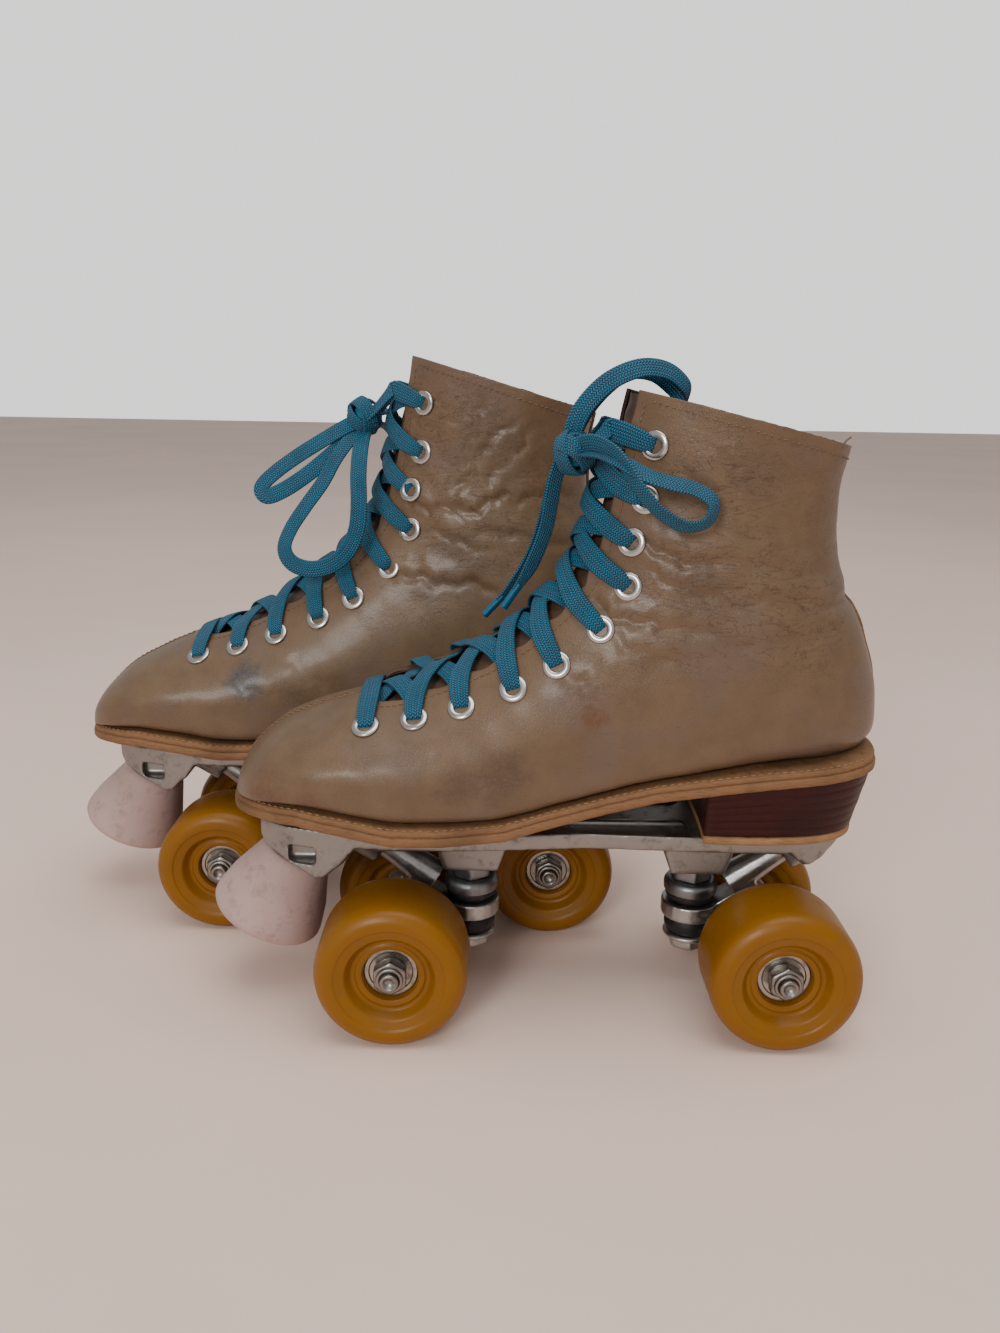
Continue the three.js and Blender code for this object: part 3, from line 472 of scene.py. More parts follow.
class Effect:
    """A node group shared by several materials; built once, then used by name."""

    def __init__(self, name: str, ins: dict[str, str], outs: dict[str, str],
                 build: Callable[[Graph, dict], dict]) -> None:
        """Makes the group.

        Args:
            name: the group's name.
            ins: input names and their socket types.
            outs: output names and their socket types.
            build: takes the graph and the inputs and gives the outputs.
        """
        self.tree = bpy.data.node_groups.new(name, "ShaderNodeTree")
        for label, kind in ins.items():
            self.tree.interface.new_socket(label, in_out="INPUT", socket_type=f"NodeSocket{kind}")
        for label, kind in outs.items():
            self.tree.interface.new_socket(label, in_out="OUTPUT", socket_type=f"NodeSocket{kind}")
        graph = Graph(self.tree)
        entry = graph.add("NodeGroupInput")
        made = build(graph, {label: entry.outputs[label] for label in ins})
        leave = graph.add("NodeGroupOutput")
        for label, socket in made.items():
            graph.feed(leave.inputs[label], socket)

    def use(self, graph: Graph, **feeds: object) -> dict[str, bpy.types.NodeSocket]:
        """The group in a graph, and its outputs by name."""
        node = graph.add("ShaderNodeGroup", node_tree=self.tree)
        for label, value in feeds.items():
            graph.feed(node.inputs[label.replace("_", " ")], value)
        return {socket.name: socket for socket in node.outputs}


def build_grain(g: Graph, i: dict) -> dict:
    """Pores and fine creases of leather: a cell pattern broken up by noise."""
    cells = g.add("ShaderNodeTexVoronoi", {"Vector": i["Vector"], "Scale": i["Scale"]},
                  feature="DISTANCE_TO_EDGE")
    crease = g.ramp(cells.outputs["Distance"], 0.0, 0.16)
    fine = g.noise(i["Vector"], 2600.0, 2.0)
    broad = g.noise(i["Vector"], 90.0, 4.0)
    height = g.math("ADD", g.math("MULTIPLY", crease, 0.6), g.math("MULTIPLY", fine, 0.4))
    return {"Height": height, "Cloud": broad}


def build_wrinkle(g: Graph, i: dict) -> dict:
    """Crease lines where a twisted noise crosses its middle, coarse and fine, running mostly level."""
    level = g.vector("MULTIPLY", i["Vector"], (0.5, 0.8, 1.5)).outputs[0]
    lines = []
    for scale, width in ((40.0, 0.014), (125.0, 0.020)):
        feeds = {"Vector": level, "Scale": scale, "Detail": 5.0, "Roughness": 0.6, "Distortion": 0.9}
        wave = g.add("ShaderNodeTexNoise", feeds).outputs["Fac"]
        away = g.math("ABSOLUTE", g.math("SUBTRACT", wave, 0.5))
        lines.append(g.math("SUBTRACT", 1.0, g.ramp(away, 0.0, width)))
    return {"Coarse": lines[0], "Fine": lines[1]}


def build_scuff(g: Graph, i: dict) -> dict:
    """Scattered scratches and rubbed patches: stretched noise where a broad noise lets it."""
    stretched = g.vector("MULTIPLY", i["Vector"], (1.0, 1.0, 7.0)).outputs[0]
    lines = g.ramp(g.noise(stretched, i["Scale"], 4.0, 0.7), 0.58, 0.66)
    patches = g.ramp(g.noise(i["Vector"], 34.0, 3.0), 0.48, 0.68)
    mask = g.math("MULTIPLY", g.math("MULTIPLY", lines, patches), i["Amount"], clamp=True)
    return {"Mask": mask, "Patch": patches}


def build_spot(g: Graph, i: dict) -> dict:
    """A stain with a ragged edge round a centre."""
    wobble = g.math("MULTIPLY", g.math("SUBTRACT", g.noise(i["Vector"], 160.0, 5.0, 0.7), 0.5), 1.5)
    away = g.vector("DISTANCE", i["Vector"], i["Centre"]).outputs["Value"]
    share = g.math("ADD", g.math("DIVIDE", away, i["Radius"]), wobble)
    speckle = g.ramp(g.noise(i["Vector"], 700.0, 3.0, 0.7), 0.3, 0.6)
    core = g.math("SUBTRACT", 1.0, g.ramp(share, 0.35, 1.15), clamp=True)
    return {"Mask": g.math("MULTIPLY", core, g.math("ADD", 0.45, g.math("MULTIPLY", speckle, 0.55)))}


def build_cast(g: Graph, i: dict) -> dict:
    """The skin of a sand casting or a worn plated part: pits, cloudiness and grime."""
    pits = g.noise(i["Vector"], i["Scale"], 5.0, 0.65)
    cloud = g.noise(i["Vector"], 55.0, 4.0, 0.6)
    grime = g.ramp(g.noise(i["Vector"], 130.0, 5.0, 0.7), 0.5, 0.72)
    return {"Height": pits, "Cloud": cloud, "Grime": grime}


def build_weave(g: Graph, i: dict) -> dict:
    """A flat braid: ribs along it and slanted picks across each, from UV in ribbon widths and millimetres,
    with a mask for the shade painted into its valleys.
    """
    split = g.add("ShaderNodeSeparateXYZ", {0: i["UV"]})
    u, v = split.outputs[0], split.outputs[1]
    rib = g.math("MULTIPLY", u, 7.0)
    inside = g.math("ABSOLUTE", g.math("SUBTRACT", g.math("FRACT", rib), 0.5))
    flip = g.math("SUBTRACT", g.math("MULTIPLY", g.math("MODULO", g.math("FLOOR", rib), 2.0), 2.0), 1.0)
    slant = g.math("MULTIPLY", g.math("MULTIPLY", inside, flip), 1.1)
    along = g.math("FRACT", g.math("ADD", g.math("MULTIPLY", v, 0.85), slant))
    pick = g.math("ABSOLUTE", g.math("SUBTRACT", along, 0.5))
    ridge = g.math("SUBTRACT", 1.0, g.math("MULTIPLY", inside, 2.0))
    crest = g.math("SUBTRACT", 1.0, g.math("MULTIPLY", pick, 2.0))
    swell = g.math("ADD", 0.45, g.math("MULTIPLY", crest, 0.55))
    height = g.math("MULTIPLY", g.math("POWER", ridge, 0.6), swell)
    fleck = g.math("GREATER_THAN", crest, 0.66)
    return {"Height": height, "Fleck": fleck, "ValleyShade": g.ramp(height, 0.05, 0.75)}


class Effects:
    """The node groups that the finishes share."""

    grain = Effect("leather_grain", {"Vector": "Vector", "Scale": "Float"},
                   {"Height": "Float", "Cloud": "Float"}, build_grain)
    wrinkle = Effect("wrinkles", {"Vector": "Vector"}, {"Coarse": "Float", "Fine": "Float"}, build_wrinkle)
    scuff = Effect("scuffs", {"Vector": "Vector", "Scale": "Float", "Amount": "Float"},
                   {"Mask": "Float", "Patch": "Float"}, build_scuff)
    spot = Effect("ragged_spot", {"Vector": "Vector", "Centre": "Vector", "Radius": "Float"},
                  {"Mask": "Float"}, build_spot)
    cast = Effect("cast_skin", {"Vector": "Vector", "Scale": "Float"},
                  {"Height": "Float", "Cloud": "Float", "Grime": "Float"}, build_cast)
    weave = Effect("flat_braid", {"UV": "Vector"},
                   {"Height": "Float", "Fleck": "Float", "ValleyShade": "Float"}, build_weave)


Colour = tuple[float, float, float]


@dataclass(frozen=True)
class Finish:
    """A material. Subclasses join their own nodes to the shader."""

    name: str
    base: Colour

    @cached_property
    def material(self) -> bpy.types.Material:
        """The material, built the first time it is asked for."""
        made = bpy.data.materials.new(self.name)
        made.use_nodes = True
        made.node_tree.nodes.clear()
        graph = Graph(made.node_tree)
        shader = graph.add("ShaderNodeBsdfPrincipled")
        out = graph.add("ShaderNodeOutputMaterial")
        graph.feed(out.inputs["Surface"], shader.outputs[0])
        where = graph.add("ShaderNodeTexCoord").outputs["Object"]
        self.build(graph, shader, where)
        return made

    def build(self, g: Graph, shader: bpy.types.Node, where: bpy.types.NodeSocket) -> None:
        """Joins the finish's nodes to the shader."""
        raise NotImplementedError


@dataclass(frozen=True)
class Spot:
    """One stain on leather: centre in the row's frame in metres, radius in metres, colour, strength."""

    centre: Colour
    radius: float
    colour: Colour
    strength: float


@dataclass(frozen=True)
class Leather(Finish):
    """Smooth side leather with pores, cloudy tone, scuffs and stains, and painted shade in its hollows."""

    dark: Colour = (0.055, 0.030, 0.018)
    rubbed: Colour = (0.135, 0.092, 0.076)
    rough: float = 0.34
    pores: float = 900.0
    bumpiness: float = 0.35
    worn: float = 0.6
    spots: tuple[Spot, ...] = ()
    creased: tuple[Spot, ...] = ()

    def wrinkles(self, g: Graph, where: bpy.types.NodeSocket) -> tuple:
        """Crease lines inside the creased places: their darkness, and their height."""
        flat = g.vector("MULTIPLY", where, (1.0, 0.0, 1.0)).outputs[0]
        mask: object = 0.0
        for spot in self.creased:
            centre = (spot.centre[0], 0.0, spot.centre[2])
            one = Effects.spot.use(g, Vector=flat, Centre=centre, Radius=spot.radius)["Mask"]
            mask = g.math("MAXIMUM", mask, g.math("MULTIPLY", one, spot.strength))
        lines = Effects.wrinkle.use(g, Vector=where)
        both = g.math("MAXIMUM", g.math("MULTIPLY", lines["Coarse"], 0.75), lines["Fine"])
        shade = g.math("MULTIPLY", both, mask)
        return shade, g.math("SUBTRACT", 1.0, shade)

    def build(self, g: Graph, shader: bpy.types.Node, where: bpy.types.NodeSocket) -> None:
        """Joins the finish's nodes to the shader."""
        grain = Effects.grain.use(g, Vector=where, Scale=self.pores)
        scuff = Effects.scuff.use(g, Vector=where, Scale=150.0, Amount=self.worn)
        tone = g.mix(g.ramp(grain["Cloud"], 0.3, 0.72), tuple(0.84 * c for c in self.base), self.base)
        tone = g.mix(g.math("MULTIPLY", g.math("SUBTRACT", 1.0, grain["Height"]), 0.22), tone, self.dark)
        tone = g.mix(g.math("MULTIPLY", scuff["Mask"], 0.8), tone, self.dark)
        tone = g.mix(g.math("MULTIPLY", scuff["Patch"], 0.5), tone, self.rubbed)
        for spot in self.spots:
            mask = Effects.spot.use(g, Vector=where, Centre=spot.centre, Radius=spot.radius)["Mask"]
            tone = g.mix(g.math("MULTIPLY", mask, spot.strength), tone, spot.colour)
        shade, relief = self.wrinkles(g, where)
        tone = g.mix(g.math("MULTIPLY", shade, 0.75), tone, self.dark)
        # Painted shade: where the skin is hollow (low pointiness), its colour is darkened towards the dark
        # colour.
        edge = g.add("ShaderNodeNewGeometry").outputs["Pointiness"]
        tone = g.mix(g.math("MULTIPLY", g.ramp(edge, 0.49, 0.42), 0.45), tone, self.dark)
        g.feed(shader.inputs["Base Color"], tone)
        rough = g.math("ADD", self.rough - 0.06, g.math("MULTIPLY", grain["Cloud"], 0.16))
        rough = g.math("ADD", rough, g.math("MULTIPLY", scuff["Mask"], 0.25), clamp=True)
        g.feed(shader.inputs["Roughness"], rough)
        broad = g.bump(g.noise(where, 60.0, 4.0), 0.22, 0.0012)
        broad = g.bump(relief, 0.26, 0.0004, broad)
        g.feed(shader.inputs["Normal"], g.bump(grain["Height"], self.bumpiness, 0.00018, broad))
        g.feed(shader.inputs["Specular IOR Level"], 0.28)
        g.feed(shader.inputs["Coat Weight"], 0.14)
        g.feed(shader.inputs["Coat Roughness"], 0.2)


@dataclass(frozen=True)
class CutLeather(Finish):
    """The raw or burnished edge of sole leather: fibres along it, darker in its grooves."""

    dark: Colour = (0.05, 0.02, 0.01)
    rough: float = 0.7
    layers: float = 0.0
    gloss: float = 0.0

    def build(self, g: Graph, shader: bpy.types.Node, where: bpy.types.NodeSocket) -> None:
        """Joins the finish's nodes to the shader."""
        flat = g.vector("MULTIPLY", where, (1.0, 1.0, 9.0)).outputs[0]
        fibre = g.noise(flat, 260.0, 5.0, 0.7)
        scuff = Effects.scuff.use(g, Vector=where, Scale=220.0, Amount=1.0)
        tone = g.mix(g.ramp(fibre, 0.2, 0.55), self.dark, self.base)
        tone = g.mix(g.math("MULTIPLY", scuff["Patch"], 0.5), tone, tuple(0.45 * c for c in self.base))
        height = fibre
        if self.layers:
            z = g.add("ShaderNodeSeparateXYZ", {0: where}).outputs[2]
            wave = g.math("FRACT", g.math("DIVIDE", z, self.layers))
            line = g.ramp(g.math("ABSOLUTE", g.math("SUBTRACT", wave, 0.5)), 0.40, 0.49)
            tone = g.mix(g.math("MULTIPLY", line, 0.7), tone, tuple(0.25 * c for c in self.base))
            height = g.math("SUBTRACT", fibre, line)
        g.feed(shader.inputs["Base Color"], tone)
        g.feed(shader.inputs["Roughness"], g.math("ADD", self.rough, g.math("MULTIPLY", scuff["Mask"], 0.2)))
        g.feed(shader.inputs["Coat Weight"], self.gloss)
        g.feed(shader.inputs["Coat Roughness"], 0.25)
        g.feed(shader.inputs["Specular IOR Level"], 0.22)
        g.feed(shader.inputs["Normal"], g.bump(height, 0.5, 0.0003))


@dataclass(frozen=True)
class Metal(Finish):
    """Cast or plated metal with pits, cloudiness and grime."""

    rough: float = 0.45
    pits: float = 900.0
    depth: float = 0.3
    grime: float = 0.5
    metallic: float = 1.0
    dirt: Colour = (0.05, 0.045, 0.04)

    def build(self, g: Graph, shader: bpy.types.Node, where: bpy.types.NodeSocket) -> None:
        """Joins the finish's nodes to the shader."""
        skin = Effects.cast.use(g, Vector=where, Scale=self.pits)
        scuff = Effects.scuff.use(g, Vector=where, Scale=400.0, Amount=1.0)
        tone = g.mix(skin["Cloud"], tuple(0.72 * c for c in self.base), self.base)
        grime = g.math("MULTIPLY", skin["Grime"], self.grime)
        g.feed(shader.inputs["Base Color"], g.mix(grime, tone, self.dirt))
        g.feed(shader.inputs["Metallic"], g.math("SUBTRACT", self.metallic, g.math("MULTIPLY", grime, 0.6)))
        rough = g.math("ADD", self.rough, g.math("MULTIPLY", g.math("SUBTRACT", skin["Cloud"], 0.5), 0.3))
        rough = g.math("ADD", rough, g.math("MULTIPLY", grime, 0.3))
        rubbed = g.math("MULTIPLY", scuff["Mask"], 0.15)
        g.feed(shader.inputs["Roughness"], g.math("SUBTRACT", rough, rubbed, clamp=True))
        g.feed(shader.inputs["Normal"], g.bump(skin["Height"], self.depth, 0.0002))


@dataclass(frozen=True)
class Rubber(Finish):
    """Moulded rubber or urethane, with dust in the lows and rubbed patches."""

    rough: float = 0.6
    dust: Colour = (0.4, 0.37, 0.34)
    dusty: float = 0.35
    glow: float = 0.0
    coat: float = 0.0
    pits: float = 500.0
    depth: float = 0.2

    def build(self, g: Graph, shader: bpy.types.Node, where: bpy.types.NodeSocket) -> None:
        """Joins the finish's nodes to the shader."""
        skin = Effects.cast.use(g, Vector=where, Scale=self.pits)
        scuff = Effects.scuff.use(g, Vector=where, Scale=260.0, Amount=1.0)
        tone = g.mix(skin["Cloud"], tuple(0.78 * c for c in self.base), self.base)
        either = g.math("MAXIMUM", scuff["Mask"], g.math("MULTIPLY", skin["Grime"], 0.6))
        mask = g.math("MULTIPLY", either, self.dusty)
        g.feed(shader.inputs["Base Color"], g.mix(mask, tone, self.dust))
        rough = g.math("ADD", self.rough, g.math("MULTIPLY", mask, 0.4), clamp=True)
        g.feed(shader.inputs["Roughness"], rough)
        g.feed(shader.inputs["Subsurface Weight"], self.glow)
        if self.glow:
            g.feed(shader.inputs["Subsurface Radius"], (1.0, 0.45, 0.08))
            g.feed(shader.inputs["Subsurface Scale"], 0.006)
        g.feed(shader.inputs["Coat Weight"], self.coat)
        g.feed(shader.inputs["Coat Roughness"], 0.18)
        g.feed(shader.inputs["Specular IOR Level"], 0.3)
        g.feed(shader.inputs["Normal"], g.bump(skin["Height"], self.depth, 0.0002))


@dataclass(frozen=True)
class Braid(Finish):
    """The flat lace: ribs, slanted picks, pale flecks and painted shade in the valleys between them, from the
    piece's own UV.
    """

    fleck: Colour = (0.03, 0.33, 0.50)
    # dark is both the painted shade in the weave's valleys and the tone of the darker patches.
    dark: Colour = (0.0, 0.010, 0.028)

    def build(self, g: Graph, shader: bpy.types.Node, where: bpy.types.NodeSocket) -> None:
        """Joins the finish's nodes to the shader."""
        uv = g.add("ShaderNodeUVMap", uv_map="cloth").outputs[0]
        weave = Effects.weave.use(g, UV=uv)
        # Painted shade: the low places between the ribs and picks are darkened towards the dark colour.
        tone = g.mix(weave["ValleyShade"], self.dark, self.base)
        tone = g.mix(g.math("MULTIPLY", weave["Fleck"], 0.6), tone, self.fleck)
        tone = g.mix(g.math("MULTIPLY", g.ramp(g.noise(where, 120.0, 3.0), 0.4, 0.7), 0.2), tone, self.dark)
        g.feed(shader.inputs["Base Color"], tone)
        g.feed(shader.inputs["Roughness"], 0.75)
        g.feed(shader.inputs["Sheen Weight"], 0.03)
        g.feed(shader.inputs["Sheen Roughness"], 0.4)
        g.feed(shader.inputs["Normal"], g.bump(weave["Height"], 1.0, 0.0006))


@dataclass(frozen=True)
class Cloth(Finish):
    """Plain pale cloth for the floor, with faint broad unevenness and a fine weave."""

    def build(self, g: Graph, shader: bpy.types.Node, where: bpy.types.NodeSocket) -> None:
        """Joins the finish's nodes to the shader."""
        broad = g.noise(where, 2.2, 3.0)
        fine = g.noise(where, 1500.0, 2.0)
        tone = g.mix(g.ramp(broad, 0.3, 0.75), tuple(0.93 * c for c in self.base), self.base)
        g.feed(shader.inputs["Base Color"], tone)
        g.feed(shader.inputs["Roughness"], 0.9)
        soft = g.bump(g.noise(where, 5.0, 3.0), 0.35, 0.012)
        g.feed(shader.inputs["Normal"], g.bump(fine, 0.15, 0.0003, soft))


# ---------------------------------------------------------------- pieces


def settle(piece: bpy.types.Object, body: str, finishes: Sequence[Finish],
           replaces: Sequence[str] = ()) -> bpy.types.Object:
    """Gives a piece its finishes, its body and the CAD nodes that it stands for."""
    for finish in finishes:
        piece.data.materials.append(finish.material)
    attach(piece, body)
    if replaces:
        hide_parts(*replaces)
    triangles = sum(len(p.vertices) - 2 for p in piece.data.polygons)
    log.info("%s: %d triangles on %s", piece.name, triangles, body)
    return piece


@dataclass
class Form:
    """One boot's skin as a function of the station along it and the angle round it."""

    foot: Foot
    instep: float
    tilt: float = 0.0
    gaping: float = 0.0

    @cached_property
    def origin(self) -> Array:
        """The boot's own origin in the row's frame, in millimetres, from the CAD's rear axle."""
        low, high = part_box(f"{self.foot.value}_axle_rear")
        middle = (np.array(low) + np.array(high)) / 2 / MM
        return np.array([middle[0] - AXLE_X, middle[1], 0.0])

    @property
    def hand(self) -> float:
        """1 for the left boot, -1 for the mirrored right one."""
        return 1.0 if self.foot is Foot.LEFT else -1.0

    def place(self, points: Array) -> Array:
        """Points in the boot's axes, moved to the row's frame, still in millimetres."""
        return np.asarray(points, float) * (1.0, self.hand, 1.0) + self.origin

    def turn(self, ways: Array) -> Array:
        """Directions in the boot's axes, in the row's frame."""
        return np.asarray(ways, float) * (1.0, self.hand, 1.0)

    def station(self, t: Array) -> tuple[Array, Array, Array, Array]:
        """Top point, base point, half width and squareness at t."""
        row = spline(STATIONS, np.clip(t, 0, LAST))
        lift = self.instep * smoothstep(t, 2, 9) * (1 + 0.6 * smoothstep(t, 9, LAST))
        nought = np.zeros_like(lift)
        top = np.stack([row[..., 0], nought, row[..., 1] + lift], -1)
        base = np.stack([row[..., 2], nought, row[..., 3] + 0.7 * lift * smoothstep(t, 14, LAST)], -1)
        return top, base, row[..., 4], row[..., 5]

    def skin(self, t: Array, angle: Array, inset: Array | float = 0.0) -> Array:
        """The skin's point at a station and an angle in degrees, moved inwards by inset."""
        t, angle, inset = np.broadcast_arrays(np.asarray(t, float), np.asarray(angle, float), inset)
        top, base, half, square = self.station(t)
        up = top - base
        length = np.linalg.norm(up, axis=-1)
        up = unit(up)
        c, w = np.cos(np.radians(angle)), np.sin(np.radians(angle))
        foot = 1 - smoothstep(t, 9, 13)
        waist = 0.36 + 0.06 * smoothstep(t, 9, 13)
        power = 2 / np.where(c >= 0, square, square + 7.0 * foot)
        reach = np.where(c >= 0, (1 - waist) * length, waist * length) - inset
        height = waist * length + np.sign(c) * reach * np.abs(c) ** power
        y = np.sign(w) * (half - inset) * np.abs(w) ** power
        y = y + 3 * foot * smoothstep(6 - t, 0, 5)
        height = height + self.tilt * w * smoothstep(t, 15.5, LAST)
        return base + up * height[..., None] + y[..., None] * np.array([0.0, 1.0, 0.0])

    def out(self, t: Array, angle: Array) -> Array:
        """The way out of the skin."""
        ahead = self.skin(np.minimum(t + 0.15, LAST), angle) - self.skin(np.maximum(t - 0.15, 0), angle)
        round_ = self.skin(t, angle + 3) - self.skin(t, angle - 3)
        normal = unit(np.cross(ahead, round_))
        top, base, _, _ = self.station(t)
        inward = np.sum(normal * (self.skin(t, angle) - (top + base) / 2), -1) < 0
        return np.where(inward[..., None], -normal, normal)

    def angle_at(self, t: Array, across: Array) -> Array:
        """The angle, in degrees, of the point that lies so far to the side of the middle."""
        _, _, half, square = self.station(t)
        share = np.clip(np.abs(across) / half, 0, 0.999)
        return np.sign(across) * np.degrees(np.arcsin(share ** (square / 2)))

    def gape(self, t: Array, y: Array) -> Array:
        """How far the lacing edge on the big toe's side stands up over the tongue."""
        along = smoothstep(t, 5.2, 6.0) * (1 - smoothstep(t, 8.2, 9.4))
        near = np.exp(-((np.abs(y) - self.half_gap(t)) / 6.5) ** 2)
        return self.gaping * along * near * (np.asarray(y) > 0)

    def half_gap(self, t: Array) -> Array:
        """Half the lacing gap: none at the throat, 17 mm over the instep, 12.5 mm at the top."""
        rise = np.clip((np.asarray(t, float) - THROAT) / 1.1, 0, 1)
        return (17 - 4.5 * smoothstep(t, 8, 15)) * np.sqrt(1 - (1 - rise) ** 2)

    def eyelet_across(self, t: Array) -> Array:
        """How far from the middle the eyelets are set."""
        return self.half_gap(np.maximum(t, THROAT + 0.8)) + 11.5 - 3 * smoothstep(t, 8, 15)

    def over(self, t: Array, across: Array, lift: Array) -> tuple[Array, Array]:
        """A point that stands lift above the skin, and the way out there."""
        t, across, lift = np.broadcast_arrays(np.asarray(t, float), np.asarray(across, float), lift)
        angle = self.angle_at(t, across)
        normal = self.out(t, angle)
        lift = lift + self.gape(t, across)
        return self.skin(t, angle) + normal * lift[..., None], normal


@dataclass
class Boot:
    """The upper with its lining, seams, stitching and eyelets, and the tongue."""

    form: Form
    skin: Finish
    raw: Finish
    lining: Finish
    tongue_finish: Finish
    thread: Finish
    nickel: Finish
    creases: Sequence[tuple[float, float, float, float, float, float]]
    rows: int = 300
    cols: int = 264

    @property
    def name(self) -> str:
        """The start of the pieces' names."""
        return self.form.foot.value

    @property
    def body(self) -> str:
        """The body that the boot rides on."""
        return f"{self.name}_chassis"

    def crumple(self, p: Array, t: Array, angle: Array) -> Array:
        """How far the leather stands out or in, in millimetres.

        Each crease is a valley along a slightly wavy line in the side view, with a low roll beside it;
        broad waves make the ankle and shaft uneven; the toe, back and counter have their seams.
        """
        x, z = p[..., 0], p[..., 2]
        side = np.where(np.sin(np.radians(angle)) > 0, 1.0, -1.0)
        d = np.zeros_like(x)
        for x0, z0, x1, z1, depth, width in self.creases:
            run = math.hypot(x1 - x0, z1 - z0)
            ux, uz = (x1 - x0) / run, (z1 - z0) / run
            s = ((x - x0) * ux + (z - z0) * uz) / run
            wave = 2.0 * np.sin(6 * s + 1.7 * side + z0) + 0.9 * np.sin(19 * s + x0) + 0.4 * np.sin(43 * s)
            away = (x - x0) * -uz + (z - z0) * ux + wave
            ends = smoothstep(s, -0.12, 0.22) * (1 - smoothstep(s, 0.75, 1.15))
            valley = -np.exp(-(away / width) ** 2)
            roll = 0.6 * np.exp(-((away - 2.6 * width) / (1.9 * width)) ** 2)
            d += 0.7 * depth * ends * (valley + roll)
        ankle = smoothstep(t, 8, 12)
        d += ankle * 0.3 * np.sin(x * 0.11 + 0.07 * z + side) * np.sin(z * 0.13 - 0.05 * x + 2 * side)
        d += 0.14 * np.sin(x * 0.23 + 1.3 * side) * np.sin(z * 0.31 + 0.1 * x)
        crackle = smoothstep(t, 16, 18) * smoothstep(x, 20, 40)
        d += crackle * 0.1 * np.sin(x * 1.3 + 2 * np.sin(z * 0.7)) * np.sin(z * 1.7 + 1.5 * np.sin(x * 0.9))
        seam = np.minimum(np.abs(angle - 180), 40) * np.radians(1) * 30
        d -= 0.5 * smoothstep(t, 13.2, 14.2) * np.exp(-((seam - 1.6) / 0.9) ** 2)
        front = np.minimum(angle, 360 - angle) * np.radians(1) * 30
        toe = (1 - smoothstep(t, THROAT - 0.3, THROAT)) * smoothstep(t, 1, 2)
        d -= 0.7 * toe * np.exp(-(front / 0.9) ** 2)
        back = smoothstep(x, 78, 98)
        d += back * (0.9 * np.exp(-((z - 172) / 7) ** 2) - 1.5 * np.exp(-((z - 184) / 3.2) ** 2))
        heel = smoothstep(t, 10.5, 12.5) * (1 - smoothstep(t, 15.5, 16.6))
        return d + 0.35 * heel * smoothstep(x, 55, 66) + self.form.gape(t, p[..., 1])

    def shell(self, inset: float, low: float, high: float, wider: float, wave: float = 0.0,
              coarse: int = 1) -> tuple[Array, Array]:
        """A sheet round the foot, open along the lacing gap and at the rim."""
        rows, cols = self.rows // coarse, self.cols // coarse
        t = np.linspace(low, high, rows)[:, None]
        share = np.linspace(0, 1, cols)[None]
        scallop = wave * np.sin(t * 2 * np.pi) * smoothstep(t, 5.8, 6.4) * (1 - smoothstep(t, 11, 13))
        gap = np.maximum(self.form.half_gap(t) + np.where(t > THROAT, wider, 0) + scallop, 0)
        first = np.where(t > THROAT, self.form.angle_at(t, gap), 0)
        angle = first + (360 - 2 * first) * share
        t = np.broadcast_to(t, angle.shape)
        p = self.form.skin(t, angle, inset)
        p = p + self.form.out(t, angle) * self.crumple(p, t, angle)[..., None]
        start = np.repeat(p[:1].mean(1, keepdims=True), cols, 1)
        points = np.concatenate([start, p]).reshape(-1, 3)
        return points, grid_faces(rows + 1, cols)

    def upper(self) -> bpy.types.Object:
        """The leather, 1.5 mm thick, with a dark raw edge round the rim and the lacing."""
        points, faces = self.shell(0.0, 0.0, LAST, 0.0, wave=0.9)
        piece = make_mesh(f"{self.name}_upper_leather", self.form.place(points), faces)
        add_modifier(piece, "SOLIDIFY", thickness=1.5 * MM, offset=-1.0, material_offset_rim=1,
                     use_rim=True, use_rim_only=True)
        return settle(piece, self.body, [self.skin, self.raw], [f"{self.name}_boot_upper"])

    def inside(self) -> bpy.types.Object:
        """The dark lining, just inside the leather and a little short of its edges."""
        points, faces = self.shell(1.7, 2.2, LAST - 0.04, 0.4, coarse=2)
        piece = make_mesh(f"{self.name}_lining", self.form.place(points), faces)
        add_modifier(piece, "SOLIDIFY", thickness=0.8 * MM, offset=-1.0)
        return settle(piece, self.body, [self.lining])

    def insole(self) -> bpy.types.Object:
        """The sock inside, on the floor of the boot."""
        t = np.linspace(2.6, 12.6, 60)[:, None]
        side = np.linspace(-1, 1, 25)[None]
        _, _, half, _ = self.form.station(t)
        ends = np.sqrt(np.clip(1 - np.abs((t - 7.6) / 5.02) ** 6, 0, 1))
        y = 0.8 * half * side * ends
        rise = 3.2 + 1.6 * np.abs(side) ** 4
        top, low, _, _ = self.form.station(np.broadcast_to(t, y.shape))
        p = low + unit(top - low) * rise[..., None] + y[..., None] * np.array([0.0, 1.0, 0.0])
        placed = self.form.place(p.reshape(-1, 3))
        piece = make_mesh(f"{self.name}_insole", placed, grid_faces(60, 25), merge=False)
        add_modifier(piece, "SOLIDIFY", thickness=1.6 * MM, offset=1.0)
        return settle(piece, self.body, [self.lining])

